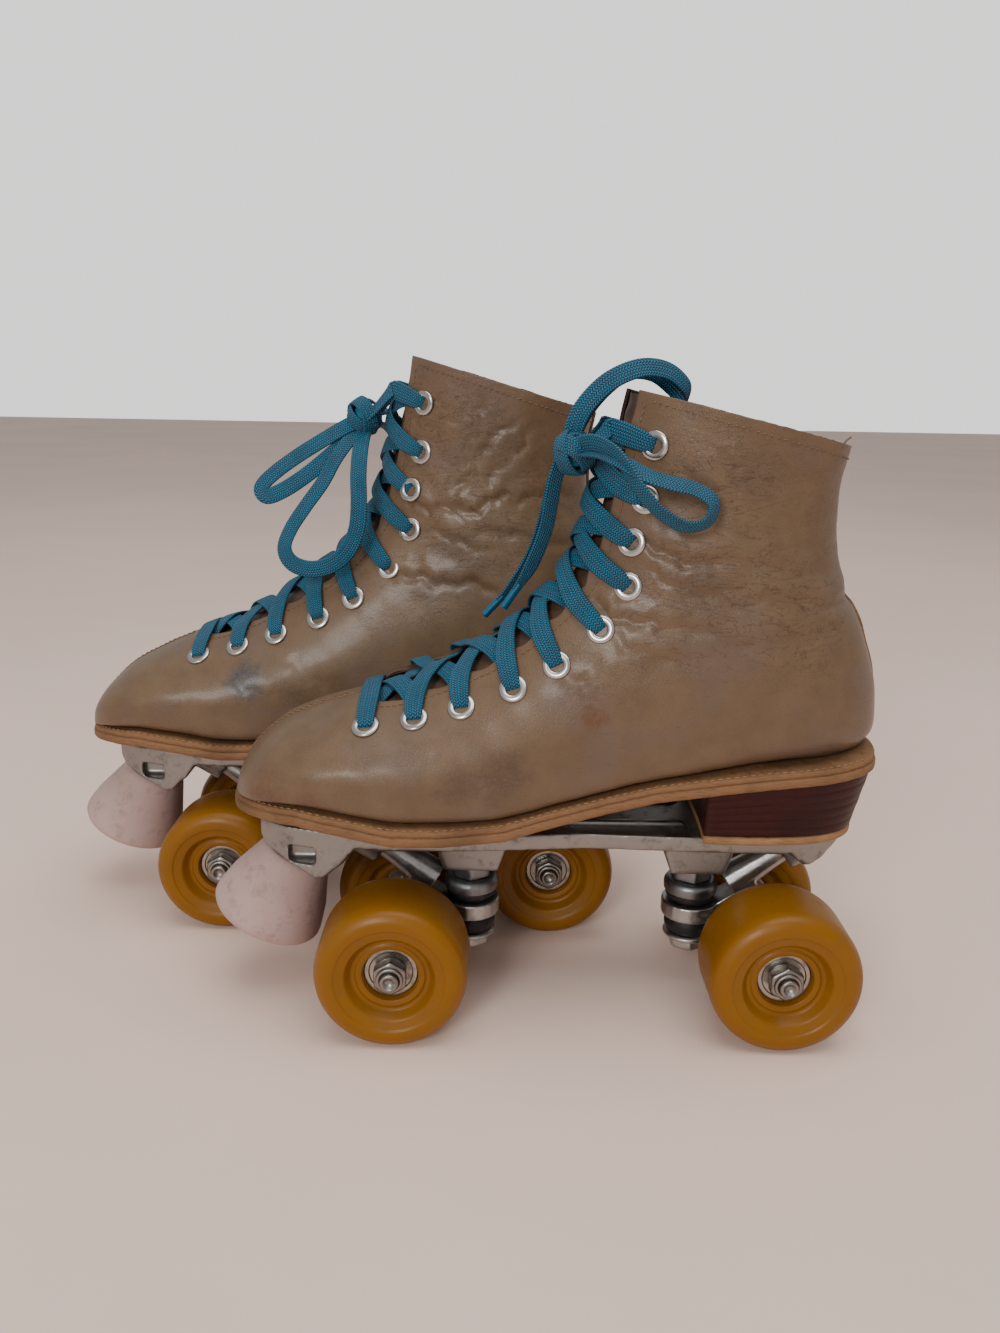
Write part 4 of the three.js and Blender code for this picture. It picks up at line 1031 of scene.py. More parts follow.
    def tongue(self) -> bpy.types.Object:
        """The padded tongue under the lacing, a little proud between the edges."""
        form = self.form
        t = np.linspace(4.9, LAST - 0.25, 120)[:, None]
        share = np.linspace(-1, 1, 41)[None]
        wide = form.half_gap(np.clip(t, THROAT + 1, LAST)) + 7
        angle = form.angle_at(np.clip(t, 0, LAST), wide) * share
        tt = np.broadcast_to(t, angle.shape)
        puff = 0.9 * (1 - np.abs(share) ** 2.5) * smoothstep(t, 6, 8)
        quilt = 0.25 * np.sin(t * 5.1) * np.sin(share * 4.0 + t)
        plump = np.sqrt(np.clip(1 - np.abs(share) ** 8, 0, 1))
        plump = plump * np.clip((LAST - 0.25 - t) / 0.3, 0.15, 1) ** 0.5
        outer = form.skin(tt, angle, 4.5) + form.out(tt, angle) * (puff + quilt)[..., None]
        inner = form.skin(tt, angle, 4.5) - form.out(tt, angle) * (0.3 + 2.4 * plump)[..., None]
        loop = np.concatenate([outer, inner[:, ::-1]], 1)
        ends = [np.repeat(loop[i].mean(0)[None, None], loop.shape[1], 1) for i in (0, -1)]
        points = np.concatenate([ends[0], loop, ends[1]])
        piece = make_mesh(f"{self.name}_tongue_pad", form.place(points.reshape(-1, 3)),
                          grid_faces(len(points), loop.shape[1], wrap=True))
        return settle(piece, self.body, [self.tongue_finish], [f"{self.name}_tongue"])

    def seams(self) -> bpy.types.Object:
        """Threads along the rim, the lacing edges and the toe seam, as one piece of stitching."""
        form = self.form
        lots = []
        edge_t = np.linspace(THROAT + 0.25, LAST - 0.25, 160)
        for side in (-1, 1):
            lots.append(self.line(edge_t, side * (form.half_gap(edge_t) + 3.4)))
        first = float(form.angle_at(np.array(LAST - 0.42), form.half_gap(LAST - 0.4) + 3.4))
        rim = np.linspace(first, 360 - first, 200)
        lots.append(self.band(np.full_like(rim, LAST - 0.42), rim))
        for side in (-1, 1):
            toe_t = np.linspace(1.2, THROAT - 0.15, 60)
            lots.append(self.band(toe_t, np.full_like(toe_t, side * 3.0)))
        points, faces = joined(lots)
        piece = make_mesh(f"{self.name}_stitching", form.place(points), faces, merge=False)
        return settle(piece, self.body, [self.thread])

    def line(self, t: Array, across: Array) -> tuple[Array, Array]:
        """Stitches along a line given by its distance from the middle."""
        return self.band(t, self.form.angle_at(t, across))

    def band(self, t: Array, angle: Array) -> tuple[Array, Array]:
        """Stitches along a line given by its angle."""
        full = angle % 360
        p = self.form.skin(t, full)
        normal = self.form.out(t, full)
        p = p + normal * self.crumple(p, t, full)[..., None]
        return stitches(p + normal * 0.12, normal)

    def back_piping(self) -> bpy.types.Object:
        """The thin pale piping up the back seam, with its small loop at the rim."""
        t = np.linspace(13.6, LAST, 90)
        angle = np.full_like(t, 180.0)
        p = self.form.skin(t, angle)
        normal = self.form.out(t, angle)
        p = p + normal * self.crumple(p, t, angle)[..., None]
        faces = transported(p, (1, 0, 0), normal, 1.0)
        points, quads, _ = ribbon(p + normal * 0.5, faces, 2.4, 2.0)
        stub = smooth_path([p[-3] - normal[-3] * 1.0, p[-1] + (0.4, 0.8, 1.6), p[-1] + (2.2, 1.2, 3.0)], 8)
        extra, more, _ = ribbon(stub, transported(stub, (1, 0, 0)), 2.6, 0.8)
        points, quads = joined([(points, quads), (extra, more)])
        piece = make_mesh(f"{self.name}_back_piping", self.form.place(points), quads)
        return settle(piece, self.body, [self.thread])

    def eyelets(self) -> list[bpy.types.Object]:
        """Ten rolled eyelets on each side of the gap."""
        profile = rounded([(2.75, -2.2), (2.75, 0.2), (3.1, 0.95, 0.5), (4.4, 1.15, 0.8), (5.5, 0.75, 0.5),
                           (5.75, 0.05), (5.2, -0.1), (3.3, -0.2), (3.3, -2.2)], 0.25)
        ring, quads = turned(profile, 40, closed=True)
        made = []
        for label, side in (("outer", -1), ("inner", 1)):
            lots = []
            for t in EYELET_STATIONS:
                at = np.array(t)
                across = side * self.form.eyelet_across(at)
                centre, normal = self.form.over(at, across, np.array(0.0))
                crumple = self.crumple(centre, at, self.form.angle_at(at, across) % 360)
                first = unit(np.cross(normal, (0.0, 1.0, 0.0)))
                second = np.cross(normal, first)
                base = np.stack([first, second, normal])
                lots.append((ring @ base + centre + normal * (crumple + 0.1), quads))
            points, faces = joined(lots)
            piece = make_mesh(f"{self.name}_eyelets_{label}", self.form.place(points), faces)
            made.append(settle(piece, self.body, [self.nickel]))
        return made

    def build(self) -> None:
        """Makes all the boot's pieces."""
        self.upper()
        self.inside()
        self.insole()
        self.tongue()
        self.seams()
        self.back_piping()
        self.eyelets()


@dataclass
class Lace:
    """The criss-cross, the knot and the two loose ends of a boot's lace."""

    form: Form
    braid: Finish
    tip: Finish
    slack: Sequence[float]

    @property
    def name(self) -> str:
        """The start of the pieces' names."""
        return self.form.foot.value

    def half(self, start: int) -> tuple[Array, Array, Array]:
        """One end's way from the lowest bar to the knot: path, face directions, widths."""
        form = self.form
        rows = []
        side = start
        for k, t in enumerate(EYELET_STATIONS):
            e, g = float(form.eyelet_across(np.array(t))), float(form.half_gap(np.array(t)))
            if k == 0:
                rows += [(t, 0.0, 1.6, 8.8), (t, side * 0.6 * g, 1.4, 8.8), (t, side * (g + 2), 1.4, 8.8),
                         (t, side * (e - 1.8), 1.3, 7.4), (t, side * e, -1.4, 5.4)]
                rows += [(t, side * (e - 2.5), -3.3, 7), (t, side * (g + 0.5), -3.4, 8.8)]
            else:
                rows += [(t - 0.05, side * (g + 1.5), -3.4, 8.8), (t, side * (e - 2.5), -3.3, 7),
                         (t, side * e, -1.4, 5.4), (t, side * (e - 1.8), 1.4, 7.4)]
                if k < len(EYELET_STATIONS) - 1:
                    rows += [(t + 0.04, side * (g + 1), 1.5, 8.8)]
            if k < len(EYELET_STATIONS) - 1:
                after = EYELET_STATIONS[k + 1]
                g2 = float(form.half_gap(np.array(after)))
                first = k == 0
                lift = self.slack[k] + (1.0 if start > 0 else -0.6)
                rise = -1.5 if first else 0.8
                rows += [(t + 0.22 * (after - t), side * 0.55 * g, rise + 0.7 * lift, 8.0),
                         (t + 0.5 * (after - t), 0.0, lift, 8.8),
                         (t + 0.8 * (after - t), -side * 0.6 * g2, -1.6 + 0.5 * lift, 8.8)]
                side = -side
        t = EYELET_STATIONS[-1]
        g = float(form.half_gap(np.array(t)))
        rows += [(t, side * (g + 1), 2.2, 8.8), (t, side * 0.6 * g, 4.5, 8.8)]
        table = spline(np.array(rows), np.linspace(0, len(rows) - 1, 7 * (len(rows) - 1) + 1))
        path, normal = form.over(table[:, 0], table[:, 1], table[:, 2])
        knot = np.array(BOWS[self.name][0], float)
        tail = np.array([knot + (2, side * 6, 0), knot + (-3, side * 2, 1)])
        path = np.concatenate([path, smooth_path([path[-1], *tail], 7)[1:]])
        normal = np.concatenate([normal, np.repeat(normal[-1:], 14, 0)])
        width = np.concatenate([table[:, 3], np.full(14, 7.0)])
        return path, transported(path, normal[0], normal), width

    def crossing(self) -> bpy.types.Object:
        """The criss-cross from the bar to the knot, both ends of it."""
        lots, uvs = [], []
        for start in (-1, 1):
            path, faces, width = self.half(start)
            points, quads, uv = ribbon(path, faces, width, LACE_THICK)
            lots.append((points, quads))
            uvs.append(uv)
        points, faces = joined(lots)
        uv = np.concatenate(uvs)
        piece = make_mesh(f"{self.name}_lace_crossing", self.form.place(points), faces, uv, False)
        return settle(piece, f"{self.name}_chassis", [self.braid], [f"{self.name}_lace"])

    def loose(self) -> None:
        """The two free ends, each a loop and a tail with its tip."""
        node = f"{self.name}_lace_bow"
        _, ends = BOWS[self.name]
        for label, (look, route) in zip("ab", ends):
            path = smooth_path(route, 8)
            faces = transported(path, look)
            width = LACE_WIDTH * (1 - 0.45 * smoothstep(np.arange(len(path)), len(path) - 12, len(path) - 2))
            points, quads, uv = ribbon(path, faces, width, LACE_THICK)
            piece = make_mesh(f"{self.name}_lace_end_{label}", self.form.place(points), quads, uv, False)
            tip = self.aglet(label, path, faces)
            line = self.form.place(path) * MM
            settle(piece, f"{self.name}_chassis", [self.braid], [node])

    def aglet(self, label: str, path: Array, faces: Array) -> bpy.types.Object:
        """The hard tip on a loose end."""
        way = unit(path[-1] - path[-4])
        line = path[-1] + way * np.linspace(-3, 9, 16)[:, None]
        points, quads, _ = ribbon(line, np.repeat(faces[-1:], 16, 0), 3.4, 2.6)
        piece = make_mesh(f"{self.name}_lace_tip_{label}", self.form.place(points), quads)
        return settle(piece, f"{self.name}_chassis", [self.tip])

    def knot(self) -> bpy.types.Object:
        """The knot: a filled core with three turns of braid round it."""
        centre = np.array(BOWS[self.name][0], float)
        lots, uvs = [], []
        a = np.linspace(0, 2 * np.pi, 49)
        for tilt, turn, size, shift in ((0.2, 0.0, 7.2, 0.0), (-0.5, 0.9, 8.0, 2.0), (1.1, -0.6, 7.6, -2.0)):
            ring = np.stack([size * np.cos(a), np.full_like(a, shift), size * 1.05 * np.sin(a)], -1)
            spin = np.array(Matrix.Rotation(tilt, 3, "X") @ Matrix.Rotation(turn, 3, "Z"))
            ring = ring @ spin.T
            points, quads, uv = ribbon(centre + ring, unit(ring), 7.4, LACE_THICK)
            lots.append((points, quads))
            uvs.append(uv)
        core, quads = turned([(0, -6), (4, -5), (6, 0), (4, 5), (0, 6)], 24)
        lots.append((core + centre, quads))
        uvs.append(np.full((len(core), 2), 0.5))
        points, faces = joined(lots)
        uv = np.concatenate(uvs)
        piece = make_mesh(f"{self.name}_lace_knot", self.form.place(points), faces, uv, False)
        return settle(piece, f"{self.name}_chassis", [self.braid], [f"{self.name}_lace_bow"])

    def build(self) -> None:
        """Makes all the lace's pieces."""
        self.loose()
        self.knot()
        self.crossing()


@dataclass
class SoleUnit:
    """Outsole with its welt, the stacked heel and the heel lift."""

    form: Form
    sole: Finish
    heel: Finish
    lift: Finish
    thread: Finish

    @property
    def name(self) -> str:
        """The start of the pieces' names."""
        return self.form.foot.value

    @staticmethod
    def under_upper(x: Array) -> Array:
        """The height of the sole's top at x."""
        rows = STATIONS[1:13, 2:4]
        ends = [[-153, rows[0, 1]], *rows.tolist(), [124, rows[-1, 1] + 0.6]]
        table = np.array(ends)
        return np.interp(x, table[:, 0], table[:, 1]) - 1.5 * GAP

    def sole_under(self, x: Array) -> Array:
        """The height of the sole's underside at x."""
        return np.maximum(self.under_upper(x) - 6.5, PLATE_TOP + GAP)

    @staticmethod
    def plan(count: int = 260) -> Array:
        """The sole's outline, evenly spaced, with the big toe's side fuller."""
        side = spline(SOLE_PLAN, np.linspace(0, len(SOLE_PLAN) - 1, 400))
        lean = 3 * smoothstep(-side[:, 0], 60, 150)
        width = np.maximum(side[:, 1], 0)
        loop = np.concatenate([np.column_stack([side[:, 0], lean - width]),
                               np.column_stack([side[:, 0], lean + width])[-2:0:-1]])
        steps = np.linalg.norm(np.diff(loop, axis=0, append=loop[:1]), axis=1)
        reach = np.concatenate([[0], np.cumsum(steps)])
        loop = np.vstack([loop, loop[:1]])
        at = np.linspace(0, reach[-1], count, endpoint=False)
        return np.column_stack([np.interp(at, reach, loop[:, 0]), np.interp(at, reach, loop[:, 1])])

    def outsole(self) -> bpy.types.Object:
        """Welt above, groove, and the sole's own edge below."""
        outline = self.plan()
        rough = 0.12 * np.sin(np.arange(len(outline)) * 1.7) + 0.1 * np.sin(np.arange(len(outline)) * 0.61)
        outline = outline + np.column_stack([np.zeros_like(rough), rough])
        profile = [(9, 1.0), (2.2, 1.0), (1.1, 0.985), (0.75, 0.94), (0.7, 0.72), (0.85, 0.66), (1.35, 0.62),
                   (1.3, 0.585), (0.35, 0.54), (0.02, 0.46), (0, 0.25), (0.12, 0.1), (0.6, 0.02), (1.6, 0),
                   (9, 0)]
        points, faces = banded(lambda share: outline, profile, self.under_upper, self.sole_under)
        piece = make_mesh(f"{self.name}_sole", self.form.place(points), faces)
        return settle(piece, f"{self.name}_chassis", [self.sole], [f"{self.name}_outsole"])

    def heel_plan(self, share: float) -> Array:
        """The heel's outline, narrower towards the floor, its front flat."""
        outline = self.plan(420)
        back = outline[outline[:, 0] > 50]
        order = np.argsort(np.arctan2(back[:, 1], back[:, 0] - 60))
        back = back[order]
        back = np.column_stack([back[:, 0] - 2.0, back[:, 1] * 0.945])
        front_y = np.linspace(back[-1, 1], back[0, 1], 24)
        curve = 1.4 * (1 - (front_y / abs(back[0, 1])) ** 2)
        front = np.column_stack([46 + curve, front_y * 0.99])
        loop = np.vstack([back, front])
        size = 0.93 + 0.08 * share
        return np.column_stack([46 + (loop[:, 0] - 46) * size, loop[:, 1] * size])

    def stack(self) -> bpy.types.Object:
        """The heel, layer on layer, with fine grooves between them."""
        profile: list[tuple[float, float]] = [(9, 1.0), (1.0, 1.0)]
        layers = 6
        for i in range(layers):
            top, low = 1 - i / layers, 1 - (i + 1) / layers
            bow = 0.05 * math.sin(3.1 * i + 1)
            profile += [(0.16, top - 0.004), (bow + 0.02, top - 0.02), (bow, low + 0.02), (0.16, low + 0.004)]
        profile += [(1.0, 0.0), (9, 0.0)]
        points, faces = banded(self.heel_plan, profile, lambda x: self.sole_under(np.minimum(x, 122)) - GAP,
                               lambda x: np.full_like(x, PLATE_TOP + 4.2))
        piece = make_mesh(f"{self.name}_heel", self.form.place(points), faces)
        return settle(piece, f"{self.name}_chassis", [self.heel], [f"{self.name}_heel_stack"])

    def heel_lift(self) -> bpy.types.Object:
        """The tan layer between the heel and the plate."""
        profile = [(9, 1), (0.7, 1), (0.05, 0.85), (0, 0.5), (0.1, 0.15), (0.8, 0), (9, 0)]
        points, faces = banded(lambda share: self.heel_plan(0.0), profile,
                               lambda x: np.full_like(x, PLATE_TOP + 3.9),
                               lambda x: np.full_like(x, PLATE_TOP + GAP))
        piece = make_mesh(f"{self.name}_heel_tan_lift", self.form.place(points), faces)
        return settle(piece, f"{self.name}_chassis", [self.lift], [f"{self.name}_heel_lift"])

    def welt_stitches(self) -> bpy.types.Object:
        """The stitching on top of the welt, round the front and sides."""
        outline = self.plan(600)
        way = unit(np.roll(outline, -1, 0) - np.roll(outline, 1, 0))
        ring = outline + np.column_stack([-way[:, 1], way[:, 0]]) * 1.9
        ring = ring[np.argsort((np.arctan2(ring[:, 1], -(ring[:, 0] + 20))))]
        ring = ring[ring[:, 0] < 112]
        line = np.column_stack([ring, self.under_upper(ring[:, 0]) + 0.12])
        points, faces = stitches(line, np.tile([0.0, 0.0, 1.0], (len(line), 1)), 3.2, 2.3, 0.34)
        piece = make_mesh(f"{self.name}_welt_stitching", self.form.place(points), faces, merge=False)
        return settle(piece, f"{self.name}_chassis", [self.thread])

    def build(self) -> None:
        """Makes all the sole's pieces."""
        self.outsole()
        self.stack()
        self.heel_lift()
        self.welt_stitches()


@dataclass
class Chassis:
    """The plate, the toe stop and the two trucks with their wheels."""

    form: Form
    cast: Finish
    hanger_cast: Finish
    zinc: Finish
    cup: Finish
    axle_steel: Finish
    bearing: Finish
    cushion: Finish
    stop: Finish
    urethane: Finish

    @property
    def name(self) -> str:
        """The start of the pieces' names."""
        return self.form.foot.value

    def put(self, label: str, lots: Sequence[tuple[Array, Array]], body: str, finish: Finish,
            node: str) -> bpy.types.Object:
        """One piece in the boot's axes that stands for a CAD node."""
        points, faces = joined(lots)
        piece = make_mesh(f"{self.name}_{label}", self.form.place(points), faces)
        return settle(piece, f"{self.name}_{body}", [finish], [f"{self.name}_{node}"] if node else [])

    def plate(self) -> None:
        """The cast sole plate with its raised middle rib."""
        piece = cast_copy(f"{self.name}_plate", f"{self.name}_sole_plate", 0.9, 4)
        settle(piece, f"{self.name}_chassis", [self.cast], [f"{self.name}_sole_plate"])
        lots = []
        for y in (-13.5, 13.5):
            block = [(-42, 84.02), (-40, 86.2), (40, 86.6), (43, 84.02)]
            ring = [np.array([[x, y + s, z] for x, z in block]) for s in (-1.6, -1.1, 1.1, 1.6)]
            ring[0][:, 2] = np.minimum(ring[0][:, 2], 85.9)
            ring[3][:, 2] = np.minimum(ring[3][:, 2], 85.9)
            ends = [np.repeat(r.mean(0)[None], 4, 0) for r in (ring[0], ring[3])]
            lots.append((np.concatenate([ends[0], *ring, ends[1]]), grid_faces(6, 4, wrap=True)))
        self.put("plate_rails", lots, "chassis", self.cast, "")

    def along_stop(self, points: Array) -> Array:
        """Turns a part about Z onto the toe stop's own line."""
        spin = np.array(Matrix.Rotation(math.pi + STOP_TILT, 3, "Y"))
        return points @ spin.T + np.array([STOP_HEAD[0], 0, STOP_HEAD[1]])

    def toe_stop(self) -> None:
        """The rubber plug and its threaded stem."""
        profile = rounded([(6.6, 14.0), (14.0, 13.9, 0.8), (15.4, 15.4, 1.0), (22.5, 34), (24.7, 43),
                           (25, 46, 1.1), (23.4, 48.5, 1.1), (12, 48.3), (0, 48.5)], 0.8, 6)
        points, faces = turned([(0, 30), (6.6, 30), *profile], 96)
        ripple = 1 + 0.006 * np.sin(3 * np.arctan2(points[:, 1], points[:, 0]) + points[:, 2] * 0.2)
        points = points * np.column_stack([ripple, ripple, np.ones_like(ripple)])
        self.put("toe_stop_rubber", [(self.along_stop(points), faces)], "chassis", self.stop,
                 "toe_stop")
        thread = [(6.2 - 0.45 * (i % 2), 13.6 + 0.5 * i) for i in range(28)]
        stem = rounded([(0, -3.5), (6, -3.5), (6.2, -2.9), (6.2, 11.3), (9.0, 11.3), (9.4, 11.8), (9.4, 13.2),
                        (9.0, 13.6), (6.2, 13.6)], 0.2)
        points, faces = turned([*stem, *thread, (0, 28)], 48)
        self.put("toe_stop_bolt", [(self.along_stop(points), faces)], "chassis", self.zinc,
                 "toe_stop_stem")

    def kingpin_stack(self, where: str, end: int) -> None:
        """Bolt, nut, cup washers and cushions, all round the kingpin."""
        at = np.array([end * KINGPIN_X, 0, 0])
        foot = WHEEL_RADIUS - 5.5
        head, head_faces = hex_nut(15, foot - 5, foot, 0.01)
        bolt = rounded([(0, foot - 0.2), (10.4, foot - 0.1, 0.4), (11, foot + 0.5, 0.5),
                        (11, foot + 1.6, 0.5), (9.6, foot + 2.3, 0.4), (4.7, foot + 2.2),
                        (4.7, NUT_TOP + 4)], 0.3)
        shank, shank_faces = turned([*bolt, (0, NUT_TOP + 4)], 48)
        self.put(f"kingpin_bolt_{where}", [(head + at, head_faces), (shank + at, shank_faces)], "chassis",
                 self.zinc, f"kingpin_{where}")
        nut, nut_faces = hex_nut(16, NUT_TOP - 7, NUT_TOP - 0.3, 4.9)
        low = RING_Z + 9.6
        cup = rounded([(5, low + 1.2), (9.6, low + 1.0), (10.3, low - 1.4, 0.4), (11.7, low - 1.4, 0.5),
                       (11.9, low + 2.6, 1.4), (10.4, low + 4.4, 0.9), (5, low + 4.6)], 0.4, 5)
        washer, washer_faces = turned(cup, 64, closed=True)
        self.put(f"kingpin_cup_{where}", [(nut + at, nut_faces), (washer + at, washer_faces)], "chassis",
                 self.cup, f"kingpin_nut_{where}")
        heights = (("upper", RING_Z + 3.9, low + 0.6, 0.5), ("lower", foot + 2.4, RING_Z - 3.9, 0.2))
        for label, z0, z1, bulge in heights:
            middle = (z0 + z1) / 2
            side = rounded([(5, z0), (9.6, z0, 1.2), (10.5 + bulge, middle - 1), (10.5 + bulge, middle + 1),
                            (9.6, z1, 1.2), (5, z1)], 0.9, 6)
            points, faces = turned(side, 64, closed=True)
            placed = self.form.place(points + at)
            piece = make_mesh(f"{self.name}_cushion_{label}_rubber_{where}", placed, faces)
            piece.data.materials.append(self.cushion.material)
            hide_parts(f"{self.name}_cushion_{label}_{where}")
            pressed, held = (z0, z1) if label == "upper" else (z1, z0)
            ends = [tuple(self.form.place(at + np.array([0, 0, z])) * MM) for z in (pressed, held)]
            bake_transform(piece)

    def hanger(self, where: str, end: int) -> None:
        """The hanger casting and the axle with its nuts."""
        piece = cast_copy(f"{self.name}_hanger_casting_{where}", f"{self.name}_hanger_{where}", 0.6, 5)
        settle(piece, f"{self.name}_truck_{where}", [self.hanger_cast],
               [f"{self.name}_hanger_{where}"])
        lots = []
        bearing = TRACK_HALF + BEARING_FACE
        for side in (-1, 1):
            nut, nut_faces = hex_nut(13, bearing + 0.4, bearing + 5.6, 4.0)
            collar = rounded([(4, bearing + 5.4), (5.7, bearing + 5.5, 0.4), (5.5, bearing + 7.0, 0.6),
                              (4.05, bearing + 7.1)], 0.3)
            ring, ring_faces = turned(collar, 48, closed=True)
            disc = rounded([(4.02, bearing + 0.05), (6.1, bearing + 0.05), (6.1, bearing + 0.45),
                            (4.02, bearing + 0.45)], 0.1)
            spacer, spacer_faces = turned(disc, 48, closed=True)
            ridges = [(4 - 0.28 * (i % 2), bearing + 7 + 0.3 * i) for i in range(6)]
            bar, bar_faces = turned([(0, 0), (3.98, 0), (3.98, bearing + 7), *ridges, (3.4, bearing + 9),
                                     (2.5, bearing + 8.9), (2.3, bearing + 7.2), (0, bearing + 7.0)], 48)
            spin = np.array(Matrix.Rotation(-side * math.pi / 2, 3, "X"))
            solids = ((nut, nut_faces), (ring, ring_faces), (spacer, spacer_faces), (bar, bar_faces))
            for points, faces in solids:
                lots.append((points @ spin.T + np.array([end * AXLE_X, 0, WHEEL_RADIUS]), faces))
        self.put(f"axle_bar_{where}", lots, f"truck_{where}", self.axle_steel, f"axle_{where}")

    def wheel(self, where: str, end: int, edge: str, side: int) -> None:
        """A urethane wheel and its bearings."""
        at = np.array([end * AXLE_X, side * TRACK_HALF, WHEEL_RADIUS])
        spin = np.array(Matrix.Rotation(math.pi / 2, 3, "X"))
        r, w, seat = WHEEL_RADIUS, WHEEL_HALF, BEARING_FACE
        half = [(11.15, seat + 0.9), (11.7, seat + 2.4, 0.3), (13.8, seat + 3.0, 0.6),
                (14.8, seat + 2.2, 0.8), (16.2, seat + 2.6, 0.8), (18.2, w - 2.5, 0.5), (18.8, w - 1.9, 0.4),
                (22.4, w - 0.9, 0.4), (23.0, w - 0.35, 0.5), (24.6, w - 0.1, 1.0),
                (27.0, w - 0.25, 2.0), (30.2, w - 2.2, 2.6), (r, w - 6.2, 2.6)]
        profile = half + [(p[0], -p[1], *p[2:]) for p in half[::-1]]
        line = rounded([*profile, profile[0]], 0.5, 5)
        points, faces = turned(line, 128)
        body = f"wheel_{where}_{edge}_body"
        self.put(f"tyre_{where}_{edge}", [(points @ spin.T + at, faces)], body,
                 self.urethane, f"wheel_{where}_{edge}")
        race = [(8.95, seat - 0.35), (9.2, seat - 0.1, 0.1), (10.8, seat - 0.05, 0.3),
                (11.05, seat - 0.4, 0.2)]
        inner = [(4.05, seat - 0.2, 0.1), (4.3, seat, 0.1), (5.7, seat, 0.2), (5.9, seat - 0.3)]
        side_line = [*inner, (6.1, seat - 0.55, 0.1), (8.8, seat - 0.6, 0.1), *race]
        both = side_line + [(p[0], -p[1], *p[2:]) for p in side_line[::-1]]
        points, faces = turned(rounded([*both, both[0]], 0.1, 3), 72)
        self.put(f"bearing_pair_{where}_{edge}", [(points @ spin.T + at, faces)], body,
                 self.bearing, f"bearings_{where}_{edge}")

    def build(self) -> None:
        """Makes the plate, the toe stop, the trucks and the wheels."""
        self.plate()
        self.toe_stop()
        for where, end in (("front", -1), ("rear", 1)):
            self.kingpin_stack(where, end)
            self.hanger(where, end)
            for edge, side in (("outer", -1), ("inner", 1)):
                self.wheel(where, end, edge, side)


# ---------------------------------------------------------------- camera, light and floor


@dataclass
class Studio:
    """The camera, the soft lights and the plain pale floor."""

    eye: tuple[float, float, float] = (26.75, -458.5, 265.3)
    azimuth: float = math.radians(0.28)
    pitch: float = math.radians(15.68)
    roll: float = math.radians(1.035)
    lens: float = 27.49

    def camera(self) -> None:
        """Looks down on the skates from the side, slightly rolled."""
        a, p = self.azimuth, self.pitch
        ahead = np.array([math.sin(a) * math.cos(p), math.cos(a) * math.cos(p), -math.sin(p)])
        right = unit(np.cross(ahead, (0, 0, 1)))
        up = np.cross(right, ahead)
        c, s = math.cos(self.roll), math.sin(self.roll)
        right, up = c * right + s * up, c * up - s * right
        data = bpy.data.cameras.new("camera")
        data.lens = self.lens
        data.sensor_width = 36
        data.clip_start, data.clip_end = 0.01, 50
        camera = bpy.data.objects.new("camera", data)
        turn = Matrix(np.column_stack([right, up, -ahead]).tolist()).to_4x4()
        camera.matrix_world = Matrix.Translation([v * MM for v in self.eye]) @ turn
        bpy.context.scene.collection.objects.link(camera)
        bpy.context.scene.camera = camera

    def lamp(self, name: str, at: Sequence[float], target: Sequence[float], size: float, power: float,
             colour: Colour) -> None:
        """A square soft light that points at a target."""
        data = bpy.data.lights.new(name, "AREA")
        data.size, data.energy, data.color = size, power, colour
        lamp = bpy.data.objects.new(name, data)
        way = np.array(at, float) - np.array(target, float)
        right = unit(np.cross((0, 1, 0.2), way))
        axes = np.column_stack([right, unit(np.cross(way, right)), unit(way)])
        lamp.matrix_world = Matrix.Translation(at) @ Matrix(axes.tolist()).to_4x4()
        bpy.context.scene.collection.objects.link(lamp)

    def floor(self) -> None:
        """A wide flat sheet of pale cloth."""
        size, count = 6000.0, 41
        line = np.linspace(-size, size, count)
        x, y = np.meshgrid(line, line, indexing="ij")
        points = np.stack([x, y, np.zeros_like(x)], -1).reshape(-1, 3)
        sheet = make_mesh("floor", points, grid_faces(count, count, flip=True), merge=False)
        sheet.data.materials.append(Cloth("floor_cloth", (0.88, 0.68, 0.59)).material)

    def world(self) -> None:
        """Even grey light from all round."""
        world = bpy.data.worlds.new("room_light")
        bpy.context.scene.world = world
        world.use_nodes = True
        graph = Graph(world.node_tree)
        back = world.node_tree.nodes["Background"]
        seen = graph.add("ShaderNodeLightPath").outputs["Is Camera Ray"]
        graph.feed(back.inputs[0], (0.92, 0.91, 0.90))
        graph.feed(back.inputs[1], graph.math("ADD", 0.5, graph.math("MULTIPLY", seen, 0.95)))

    def build(self) -> None:
        """Sets up the picture."""
        self.camera()
        self.world()
        self.lamp("ceiling", (0.2, -0.3, 1.9), (0, 0, 0.1), 1.5, 22, (1.0, 0.97, 0.93))
        self.lamp("window", (-0.7, -1.9, 1.0), (0, 0, 0.15), 0.6, 21, (1.0, 0.98, 0.96))
        self.floor()


# ---------------------------------------------------------------- the pair

